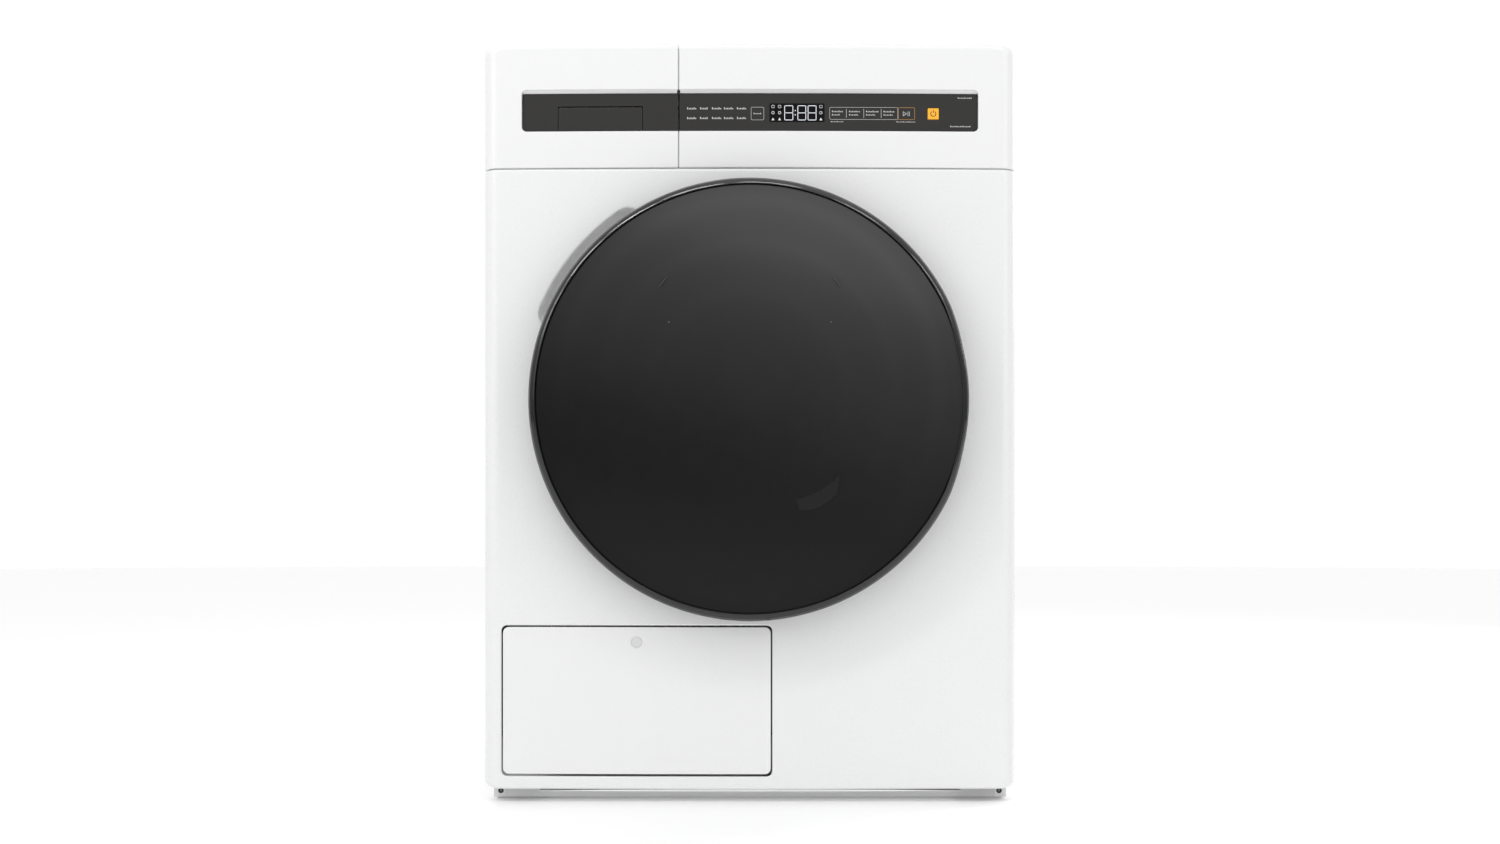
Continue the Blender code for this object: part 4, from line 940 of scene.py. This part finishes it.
def build_door():
    x, z = DOOR.x, DOOR.z
    outline = [(0.222, -0.29), (0.222, -0.3175), (0.2349, -0.3175), (0.2349, -0.3228), (0.2354, -0.3236),
        (0.2375, -0.3226), (0.2404, -0.3201), (0.2425, -0.3162), (0.2432, -0.312), (0.2426, -0.304),
        (0.2408, -0.296), (0.2384, -0.2902)]
    ring = turned(rounded_profile(outline, 0.0005, 3), x, z, 200)
    for vert in ring.vertices:
        off_hinge = abs(degrees(atan2(vert.co.z - z, vert.co.x)))
        part = min(1.0, max(0.0, (26 - off_hinge) / 12))
        radius = hypot(vert.co.x, vert.co.z - z)
        if radius > 0.2352:
            scale = (radius - RIM_OVERHANG * part) / radius
            vert.co.x *= scale
            vert.co.z = z + (vert.co.z - z) * scale
    room = boolean(hinge_room(), block((0.19, -0.33, 0.38), (0.26, -0.316, 0.51), 0))
    ring = boolean(ring, room)
    piece("door_rim", ring, RIM_BLACK, "door", ("door_ring",))

    crest, edge = DOOR_FRONT, DOOR_FRONT + 0.006
    dome = [(COVER_RADIUS * k / 24, crest + (edge - crest) * (k / 24) ** 2) for k in range(1, 24)]
    shell = [(0.0, crest)] + dome + [(COVER_RADIUS - 0.0008, edge - 0.0003),
        (COVER_RADIUS - 0.0001, edge + 0.0003), (COVER_RADIUS, edge + 0.001), (COVER_RADIUS, edge + 0.003),
        (COVER_RADIUS - 0.0004, edge + 0.0034)]
    shell += [(r, y + 0.0034) for r, y in reversed(dome)] + [(0.0, crest + 0.0034)]
    piece("door_cover_dome", turned(shell, x, z, 200), SMOKED, "door", ("door_cover",))

    # The two short strokes are painted glints on the cover; the two dots are screw heads behind it.
    marks = []
    for side in (-1, 1):
        a, b = (side * 0.0907, 0.5782), (side * 0.0986, 0.5678)
        across = Vector((b[1] - a[1], a[0] - b[0])).normalized() * 0.00035
        marks.append([(a[0] + across.x, a[1] + across.y), (b[0] + across.x, b[1] + across.y),
            (b[0] - across.x, b[1] - across.y), (a[0] - across.x, a[1] - across.y)])
        marks.append(circle(side * 0.0884, 0.5291, 0.0011, 12))
    glint = arc(0.056, 0.372, 0.048, 268, 325, 16) + arc(0.03, 0.428, 0.094, 316, 282, 12)
    level = crest + 0.006 * (0.12 / COVER_RADIUS) ** 2
    stamps = [plane_piece([shape], level - 0.0004, 0.001, 0.00005) for shape in marks]
    piece("cover_screws_and_painted_glints", merged(stamps), SCREW_DOT_AND_GLINT, "door")
    glint_mesh = plane_piece([glint], crest + 0.00115, 0.0008, 0.00005)
    piece("cover_glint", glint_mesh, FAINT_GLINT, "door")

    plate = plane_piece([circle(x, z, 0.2208, 120), circle(0, MOUTH.z, 0.16, 96)], -0.3, 0.0118, 0.0025, 3)
    plate = boolean(plate, hinge_room())
    seat = turned(rounded_profile([(0.164, -0.2886), (0.17, -0.2886), (0.17, -0.2872), (0.164, -0.2872)],
        0.0006), 0, MOUTH.z, 120)
    screws = []
    for angle in (30, 75, 120, 160, 200, 245, 290, 330):
        turn = radians(angle)
        sx, sz = x + 0.2065 * cos(turn), z + 0.2065 * sin(turn)
        screws.append(screw_mesh(sx, sz, -0.2885, 0.0042))
    piece("door_inner_shell", merged([plate, seat]), INNER_GREY, "door",
        ("door_inner_frame",))
    piece("door_inner_screws", merged(screws), MACHINED, "door")

    inner = [(0.0, -0.2532), (0.06, -0.2534), (0.11, -0.2545), (0.13, -0.2562), (0.1415, -0.26),
        (0.148, -0.267), (0.151, -0.276), (0.153, -0.29), (0.1548, -0.3045)]
    outer = [(0.168, -0.3045), (0.168, -0.3015), (0.1592, -0.3012), (0.1577, -0.299), (0.1562, -0.289),
        (0.154, -0.275), (0.1508, -0.2655), (0.1438, -0.2575), (0.131, -0.2532), (0.1105, -0.2514),
        (0.06, -0.2503), (0.0, -0.2501)]
    piece("door_bowl_glass", turned(inner + outer, 0, MOUTH.z, 160), GLASS, "door",
        ("door_bowl",))


def screw_mesh(x, z, level, radius):
    """A pan head screw with a cross recess, its head standing towards +Y from the level."""
    head = [(0.0, level + radius * 0.45), (radius * 0.5, level + radius * 0.42),
        (radius * 0.85, level + radius * 0.28), (radius, level + radius * 0.05),
        (radius, level - radius * 0.1), (0.0, level - radius * 0.1)]
    mesh = turned(head, x, z, 20)
    arm, width = radius * 0.62, radius * 0.13
    low, high = level + radius * 0.22, level + radius * 0.7
    for half_x, half_z in ((arm, width), (width, arm)):
        mesh = boolean(mesh, block((x - half_x, low, z - half_z), (x + half_x, high, z + half_z), 0))
    return mesh


def build_mouth():
    lip = [(0.1805, -0.287), (0.182, -0.2876), (0.1845, -0.2868), (0.1868, -0.284), (0.1885, -0.28),
        (0.1892, -0.274), (0.1892, -0.2625), (0.188, -0.262), (0.1872, -0.264), (0.1868, -0.272),
        (0.185, -0.279), (0.1822, -0.2835), (0.1805, -0.285)]
    piece("mouth_seal_lip", turned(rounded_profile(lip, 0.0005, 2), 0, MOUTH.z, 160), RUBBER, "cabinet",
        ("door_seal",))


def build_handle_recess():
    levels = [(-0.0135, 0.0237), (-0.0115, 0.0222), (-0.0095, 0.019), (-0.007, 0.014), (-0.0045, 0.0094),
        (-0.0022, 0.0058), (-0.0002, 0.003), (0.004, 0.0028), (0.0042, 0.005), (0.0012, 0.0054),
        (0.0008, 0.0212), (-0.001, 0.0246), (-0.004, 0.0256)]
    rings = [[(x, crown(x) + inward, z) for x, z in arc_band(*RECESS_RADII, RECESS_ANGLES, grow)]
             for grow, inward in levels]
    piece("handle_recess_cup", mesh_from(loft(rings), 50), INNER_RECESS, "cabinet",
        ("handle_cup",))


# ---------------------------------------------------------------- access flap and plinth

def build_access_flap():
    x0, x1, z0, z1 = FLAP_LOW.x, FLAP_HIGH.x, FLAP_LOW.z, FLAP_HIGH.z
    skin = skin_plate([refined(rounded_rect(x0, z0, x1, z1, 0.0067))], 0.0, 0.0026, 0.0008)
    dimple = turned([(0.0, FRONT - 0.004), (0.0072, FRONT - 0.004), (0.0066, FRONT + 0.0016),
        (0.0058, FRONT + 0.0026), (0.0, FRONT + 0.0028)], (x0 + x1) / 2, z1 - 0.0168, 48)
    skin = boolean(skin, dimple)
    rim = skin_plate([refined(rounded_rect(x0 + 0.0012, z0 + 0.0012, x1 - 0.0012, z1 - 0.0012, 0.0055)),
        refined(rounded_rect(x0 + 0.0036, z0 + 0.0036, x1 - 0.0036, z1 - 0.0036, 0.0035))], 0.002, 0.0155,
        0.0005)
    ribs = []
    for k in range(1, 6):
        x = x0 + (x1 - x0) * k / 6
        ribs.append(block((x - 0.0008, crown(x) + 0.002, z0 + 0.0036),
            (x + 0.0008, crown(x) + 0.0075, z1 - 0.0036), 0.0003))
    # A grey disc in the dimple: painted shade standing in for the dimple's own shade.
    pad = plane_piece([circle((x0 + x1) / 2, z1 - 0.0168, 0.0056, 40)], FRONT + 0.0021, 0.0008, 0.0003)
    piece("flap_dimple_shade", pad, DIMPLE_SHADE_GREY, "service_flap")
    piece("access_flap_shell", merged([skin, rim] + ribs), MOULDED, "service_flap",
        ("access_flap",))


def build_plinth():
    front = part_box("base_tray")[0].y
    lens = [(-0.235, 0.0126), (-0.16, 0.0119), (-0.08, 0.0116), (0.0, 0.0115), (0.08, 0.0116),
        (0.16, 0.0119), (0.235, 0.0126), (0.16, 0.0136), (0.08, 0.0139), (0.0, 0.014), (-0.08, 0.0139),
        (-0.16, 0.0136)]
    lip = plane_piece([lens], FRONT + 0.0022, front - FRONT - 0.002, 0.0004)
    pads = []
    holes = []
    for x in (-0.281, 0.281):
        pad = rounded_rect(x - 0.0055, 0.004, x + 0.0055, 0.0136, 0.002)
        pads.append(plane_piece([pad, circle(x, 0.009, 0.0031, 20)], front - 0.0014, 0.0016, 0.0004))
        # Black rings set in the pads' holes: painted shade inside the holes.
        ring = [circle(x, 0.009, 0.0036, 24), circle(x, 0.009, 0.001, 16)]
        holes.append(plane_piece(ring, front - 0.0007, 0.0005, 0.0001))
    piece("plinth_hole_shade", merged(holes), BLACK_PLASTIC, "cabinet")
    piece("plinth_trim", merged([lip] + pads), MOULDED, "cabinet")


# ---------------------------------------------------------------- sides, top and back

SIDE_FOLD = 0.0095


def build_side(side, panel, name):
    low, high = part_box(panel)
    rings = []
    levels = [(0.058, 0.0014, 0.03), (0.054, 0.0012, 0.034), (0.05, 0.0002, 0.038), (0.047, 0.0, 0.04),
        (0.01, 0.0, 0.004), (0.007, 0.0, 0.003), (0.004, 0.0, 0.002), (0.0016, 0.0, 0.0016),
        (0.0005, 0.0005, 0.0016), (0.0, 0.0016, 0.0016), (0.0, 0.0082, 0.0016), (0.001, 0.0082, 0.001),
        (0.0011, 0.002, 0.001), (0.048, 0.0012, 0.04), (0.056, 0.0024, 0.034)]
    for inset, depth, radius in levels:
        ring = []
        for y, z in rounded_rect(low.y + inset, low.z + inset, high.y - inset, high.z - inset, radius, 5):
            reach = max(0.0, SIDE_FOLD - (z - low.z))
            fold = SIDE_FOLD - sqrt(SIDE_FOLD ** 2 - reach ** 2)
            ring.append((side * (HALF_WIDTH - depth - fold), y, z))
        rings.append(ring)
    piece(name, mesh_from(loft(rings)), ENAMEL, "cabinet", (panel,))


def build_worktop():
    low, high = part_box("worktop")
    slab = block((low.x, low.y, low.z + 0.0045), high, 0.0026, 4)
    skirt = block((low.x + 0.0018, low.y + 0.001, low.z), (high.x - 0.0018, high.y - 0.0018, low.z + 0.005),
        0.0004, 2)
    piece("worktop_slab", slab, LAMINATE, "cabinet", ("worktop",))
    piece("worktop_skirt", skirt, BASE_GREY, "cabinet")


# Height of the rear service cover's middle.
COVER_Z = 0.515


def build_back():
    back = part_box("rear_panel")[1].y
    beads = []
    for x0, z0, x1, z1 in ((-0.255, 0.03, -0.24, 0.235), (-0.07, 0.045, -0.055, 0.235),
            (0.02, 0.045, 0.035, 0.225), (0.1, 0.045, 0.115, 0.225)):
        beads.append(plane_piece([rounded_rect(x0, z0, x1, z1, 0.0074)], back - 0.0004, 0.003, 0.0022, 2))
    piece("back_beads", merged(beads), ZINC, "cabinet")
    screws = []
    for x in (-0.286, -0.145, 0.0, 0.145, 0.286):
        screws += [screw_mesh(x, z, back + 0.0003, 0.0042) for z in (0.026, 0.812)]
    for z in (0.22, 0.42, 0.62):
        screws += [screw_mesh(x, z, back + 0.0003, 0.0042) for x in (-0.287, 0.287)]
    for angle in range(0, 360, 45):
        turn = radians(angle + 22.5)
        screws.append(screw_mesh(0.243 * cos(turn), COVER_Z + 0.243 * sin(turn), back + 0.0012, 0.004))
    piece("back_screws", merged(screws), MACHINED, "cabinet")

    dish = [(0.0, 0.0106), (0.06, 0.0106), (0.15, 0.0106), (0.196, 0.0106), (0.204, 0.0098),
        (0.212, 0.0074), (0.219, 0.0036), (0.224, 0.0016), (0.23, 0.0012), (0.249, 0.0012), (0.25, 0.0008),
        (0.25, 0.0001), (0.229, 0.0001), (0.222, 0.0006), (0.211, 0.0058), (0.203, 0.0086), (0.195, 0.0094),
        (0.0, 0.0094)]
    hub = [(0.0, 0.014), (0.026, 0.014), (0.03, 0.0128), (0.032, 0.0098), (0.0, 0.0098)]
    ring = rounded_profile([(0.121, 0.0098), (0.131, 0.0098), (0.128, 0.0134), (0.122, 0.0134)], 0.0016)
    cover, ring, hub = (turned([(r, back + y) for r, y in profile], 0, COVER_Z, steps)
                        for profile, steps in ((dish, 160), (ring, 120), (hub, 64)))
    ribs = []
    for angle in range(0, 180, 30):
        rib = block((-0.188, back + 0.0098, -0.005), (0.188, back + 0.0126, 0.005), 0.0018)
        rib.transform(Matrix.Translation((0, 0, COVER_Z)) @ Matrix.Rotation(radians(angle), 4, "Y"))
        ribs.append(rib)
    piece("service_cover_dish", merged([cover] + ribs + [ring, hub]), ZINC, "cabinet",
        ("rear_service_cover",))


# ---------------------------------------------------------------- drum

def build_drum():
    low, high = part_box("drum_shell")
    x, z = DRUM.x, DRUM.z
    wall = 0.0011
    front, back = low.y, high.y
    opening = 0.262
    shell = DRUM_RADIUS - 0.0003
    outer = [(opening, front + 0.0012), (opening + 0.0012, front + 0.0002),
        (opening + 0.01, front + 0.0004), (DRUM_RADIUS - 0.009, front + 0.0012),
        (DRUM_RADIUS - 0.003, front + 0.0046), (shell, front + 0.011), (shell, front + 0.05)]
    for bead in (front + 0.07, front + 0.39):
        outer += [(DRUM_RADIUS - depth, bead + away) for depth,
            away in ((0.0003, -0.006), (0.0035, -0.003), (0.004, 0.0), (0.0035, 0.003), (0.0003, 0.006))]
    outer += [(shell, back - 0.002), (DRUM_RADIUS - 0.001, back - 0.0004)]
    inner = [(r - wall, max(y, front + 0.0012)) for r, y in outer[3:]]
    inner = [(DRUM_RADIUS - 0.002, back - 0.0004)] + inner[::-1]
    inner += [(opening + 0.01, front + 0.0016), (opening + 0.0014, front + 0.0014)]
    piece("drum_wrapper", turned(outer + inner, x, z, 192, sharp=50), DRUM_STEEL, "drum",
        ("drum_shell",))
    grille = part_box("drum_rear_wall")[0].y - 0.0006
    holes = []
    for k in range(8):
        ring, count = 0.06 + 0.018 * k, 14 + 4 * k
        holes += [circle(x + ring * cos(tau * i / count), z + ring * sin(tau * i / count), 0.0034, 10)
            for i in range(count)]
    grate = plane_piece([circle(x, z, 0.205, 96)] + holes, grille - 0.001, 0.001, 0.0002)
    hub = rounded_profile([(0.0, -0.006), (0.03, -0.0058), (0.042, -0.004), (0.046, -0.0009),
        (0.0, -0.0009)], 0.0015)
    rim = rounded_profile([(0.205, 0.0002), (0.2, -0.0012), (0.202, -0.0026), (0.209, -0.0024),
        (0.211, 0.0002)], 0.0006)
    hub, rim = (turned([(r, grille + y) for r, y in profile], x, z, steps) for profile,
        steps in ((hub, 96), (rim, 120)))
    piece("drum_rear_grille", merged([grate, hub, rim]), DRUM_STEEL, "drum")


# ---------------------------------------------------------------- pieces inside

def build_lint_screen():
    low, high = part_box("lint_filter")
    y = (low.y + high.y) / 2
    mesh_sheet = block((low.x + 0.004, y - 0.0004, low.z + 0.003),
        (high.x - 0.004, y + 0.0004, high.z - 0.012), 0.0001, 1)
    piece("lint_mesh_sheet", mesh_sheet, LINT_MESH, "lint_screen")
    tab = block((-0.02, low.y + 0.003, high.z - 0.0004), (0.02, high.y - 0.003, high.z + 0.0035), 0.0012)
    piece("lint_pull_tab", tab, BLACK_PLASTIC, "lint_screen")


def build_cassette():
    low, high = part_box("filter_cassette")
    y = (low.y + high.y) / 2
    sheet = block((low.x + 0.006, y - 0.001, low.z + 0.006), (high.x - 0.006, y + 0.001, high.z - 0.006),
        0.0002, 1)
    piece("cassette_mesh", sheet, LINT_MESH, "cabinet")
    levers = []
    for x in (low.x + 0.012, high.x - 0.012):
        levers.append(block((x - 0.006, low.y - 0.004, 0.118), (x + 0.006, low.y + 0.0004, 0.146), 0.0018))
    piece("cassette_levers", merged(levers), BLACK_PLASTIC, "cabinet")
    cheek = block((high.x + 0.0015, low.y + 0.001, low.z), (0.029, low.y + 0.003, 0.1985), 0.0006)
    piece("service_bay_cheek", cheek, INNER_GREY, "cabinet")


def build_tank_details():
    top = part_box("water_tank")[1].z
    cap = turned(rounded_profile([(0.0, top - 0.0008), (0.02, top - 0.0008), (0.02, top + 0.003),
        (0.015, top + 0.004), (0.0, top + 0.004)], 0.0008), -0.13, -0.15, 64, "Z")
    ribs = [block((-0.272, y - 0.0015, top - 0.0005), (-0.106, y + 0.0015, top + 0.0012), 0.0006)
        for y in (-0.1, -0.05, 0.0, 0.05)]
    piece("tank_top_details", merged([cap] + ribs), TANK_GREY, "tank_drawer")


def build_feet():
    for end in ("front", "rear"):
        for hand in ("left", "right"):
            name = f"foot_{end}_{hand}"
            low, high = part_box(name)
            x, y = (low.x + high.x) / 2, (low.y + high.y) / 2
            pad = [(0.0, 0.0), (0.0165, 0.0), (0.0182, 0.0008), (0.019, 0.0024), (0.019, 0.006),
                (0.018, 0.0072), (0.0, 0.0072)]
            sole = turned([(r, z + low.z) for r, z in pad], x, y, 64, "Z")
            piece(name + "_sole", sole, RUBBER, name)
            nut = [(0.0101 * cos(radians(60 * k + 30)), 0.0101 * sin(radians(60 * k + 30)))
                for k in range(6)]
            nut_mesh = level_piece([[(x + a, y + b) for a, b in nut], circle(x, y, 0.0052, 24)],
                low.z + 0.015, 0.0055, 0.0006)
            piece(name + "_nut", nut_mesh, MACHINED, name)


# The CAD nodes that show as they are, by what they are made of.
CARRIED = (
    (BASE_GREY, "base_tray foot_front_left foot_front_right foot_rear_left foot_rear_right"),
    (BLACK_PLASTIC, "cord_inlet display_module door_lock idler_pulley blower_wheel condensate_pump"),
    (COMPRESSOR_BLACK, "compressor"),
    (COPPER, "discharge_pipe"),
    (DRUM_STEEL, "drum_rear_wall"),
    (FINS, "evaporator condenser"),
    (HOSE_GREY, "condensate_hose"),
    (INNER_GREY, "front_bulkhead lint_filter lint_filter_housing flap_catch blower_housing filter_cassette"),
    (INNER_GREY, "tank_cradle"),
    (LIFTER_GREY, "drum_lifter_1 drum_lifter_2 drum_lifter_3"),
    (MACHINED, "rear_bearing door_hinge_leaf door_hook hinge_bracket drum_shaft drive_motor rotor_shaft"),
    (RUBBER, "support_roller_left support_roller_right drum_belt"),
    (TANK_GREY, "water_tank"),
    (ZINC, "rear_panel rear_bulkhead belt_tensioner"),
)
# Widths of their softened edges, where they aren't the common one.
EDGE_WIDTH = 0.0003
EDGE_WIDTHS = {"drum_lifter_1": 0.0022, "drum_lifter_2": 0.0022, "drum_lifter_3": 0.0022,
    "water_tank": 0.004, "compressor": 0.0015, "drive_motor": 0.0012, "base_tray": 0.0008,
    "lint_filter": 0.0005}


def dress_node(name, material):
    """Give a carried node its material and soften its edges."""
    obj = frame["nodes"][name]
    obj.data.materials.clear()
    obj.data.materials.append(material)
    obj.data.shade_smooth()
    obj.data.set_sharp_from_angle(angle=radians(32))
    bevel = obj.modifiers.new("soft_edges", "BEVEL")
    bevel.width = EDGE_WIDTHS.get(name, EDGE_WIDTH)
    bevel.segments = 2
    bevel.limit_method = "ANGLE"
    bevel.angle_limit = radians(40)
    keep_flat(obj)


# ---------------------------------------------------------------- the set

# Brightness of the world near the floor, higher up, and behind the machine.
WORLD_LOW = 0.16
WORLD_HIGH = 0.85
WORLD_BEHIND = 1.02
# Soft lights: name, place, target, width, height and power.
SOFTBOXES = (
    ("overhead", (0.2, -1.0, 3.0), (0, -0.2, 0.4), 2.6, 2.0, 5),
    ("front_left", (-2.9, -2.9, 1.7), (0, -0.2, 0.45), 1.6, 2.0, 8),
    ("front_right", (2.9, -2.9, 1.5), (0, -0.2, 0.45), 1.6, 2.0, 9),
    ("back_side", (2.7, 1.9, 1.7), (0, 0.3, 0.45), 0.8, 1.2, 30),
)
# Small lights along an arc that draw the highlight on the door's rim: degrees round it and power.
RIM_LIGHTS = ((35, 1.6), (60, 1.9), (85, 2.2), (105, 3.4), (122, 4.4), (139, 3.6), (156, 1.6))
RIM_LIGHT_REACH = 2.2


def softbox(name, place, target, width, height, energy, roll=0.0):
    data = bpy.data.lights.new(name, "AREA")
    data.shape = "RECTANGLE"
    data.size, data.size_y = width, height
    data.energy = energy
    light = add_object(name, data)
    light.location = place
    aim = (Vector(target) - Vector(place)).to_track_quat("-Z", "Y")
    light.rotation_euler = (aim @ Quaternion((0, 0, 1), roll)).to_euler()


def build_floor():
    bm = bmesh.new()
    bmesh.ops.create_circle(bm, cap_ends=True, segments=96, radius=14.0)
    mesh = bpy.data.meshes.new("floor")
    bm.to_mesh(mesh)
    bm.free()
    mesh.materials.append(FLOOR_WHITE)
    floor = add_object("floor", mesh)
    floor.location = (0, 0, -0.0004)


def build_world():
    """A grey studio, darker near the floor and white behind the machine."""
    world = bpy.data.worlds.new("studio")
    world.use_nodes = True
    bpy.context.scene.world = world
    tree = world.node_tree
    separate = node(tree, "SeparateXYZ", {"Vector": (node(tree, "TexCoord"), "Generated")})
    height = spread(tree, (separate, "Z"), WORLD_LOW, WORLD_HIGH, -0.16, 0.4)
    front = spread(tree, (separate, "Y"), 1.0, 0.0, 0.3, 0.82)
    behind = node(tree, "Mix", {"A": WORLD_BEHIND, "B": (height, "Result"), "Factor": (front, "Result")},
        data_type="FLOAT")
    grey = node(tree, "CombineColor", {channel: (behind, "Result") for channel in ("Red", "Green", "Blue")})
    fill(tree, tree.nodes["Background"], {"Color": (grey, "Color")})


def build_lights():
    for settings in SOFTBOXES:
        softbox(*settings)
    for angle, energy in RIM_LIGHTS:
        turn = radians(angle)
        place = (RIM_LIGHT_REACH * cos(turn), -1.5, 0.55 + RIM_LIGHT_REACH * sin(turn))
        softbox(f"rim_light_{angle}", place, (0, DOOR_FRONT, 0.6), 0.62, 0.12, energy, turn - pi / 2)


def build_camera():
    data = bpy.data.cameras.new("camera")
    data.lens = 43.15
    data.shift_y = 0.0737
    camera = add_object("camera", data)
    camera.location = (0, FRONT - 2.0, 0.3)
    camera.rotation_euler = (pi / 2, 0, 0)
    bpy.context.scene.camera = camera
    bpy.context.scene.view_settings.view_transform = "Standard"


# ---------------------------------------------------------------- build

build_front_panel()
build_mouldings()
build_strip()
build_power_key()
build_door()
build_mouth()
build_handle_recess()
build_access_flap()
build_plinth()
build_side(-1, "side_panel_left", "side_sheet_left")
build_side(1, "side_panel_right", "side_sheet_right")
build_worktop()
build_back()
build_drum()
build_lint_screen()
build_cassette()
build_tank_details()
build_feet()
for material, names in CARRIED:
    for name in names.split():
        dress_node(name, material)
build_floor()
build_world()
build_lights()
build_camera()
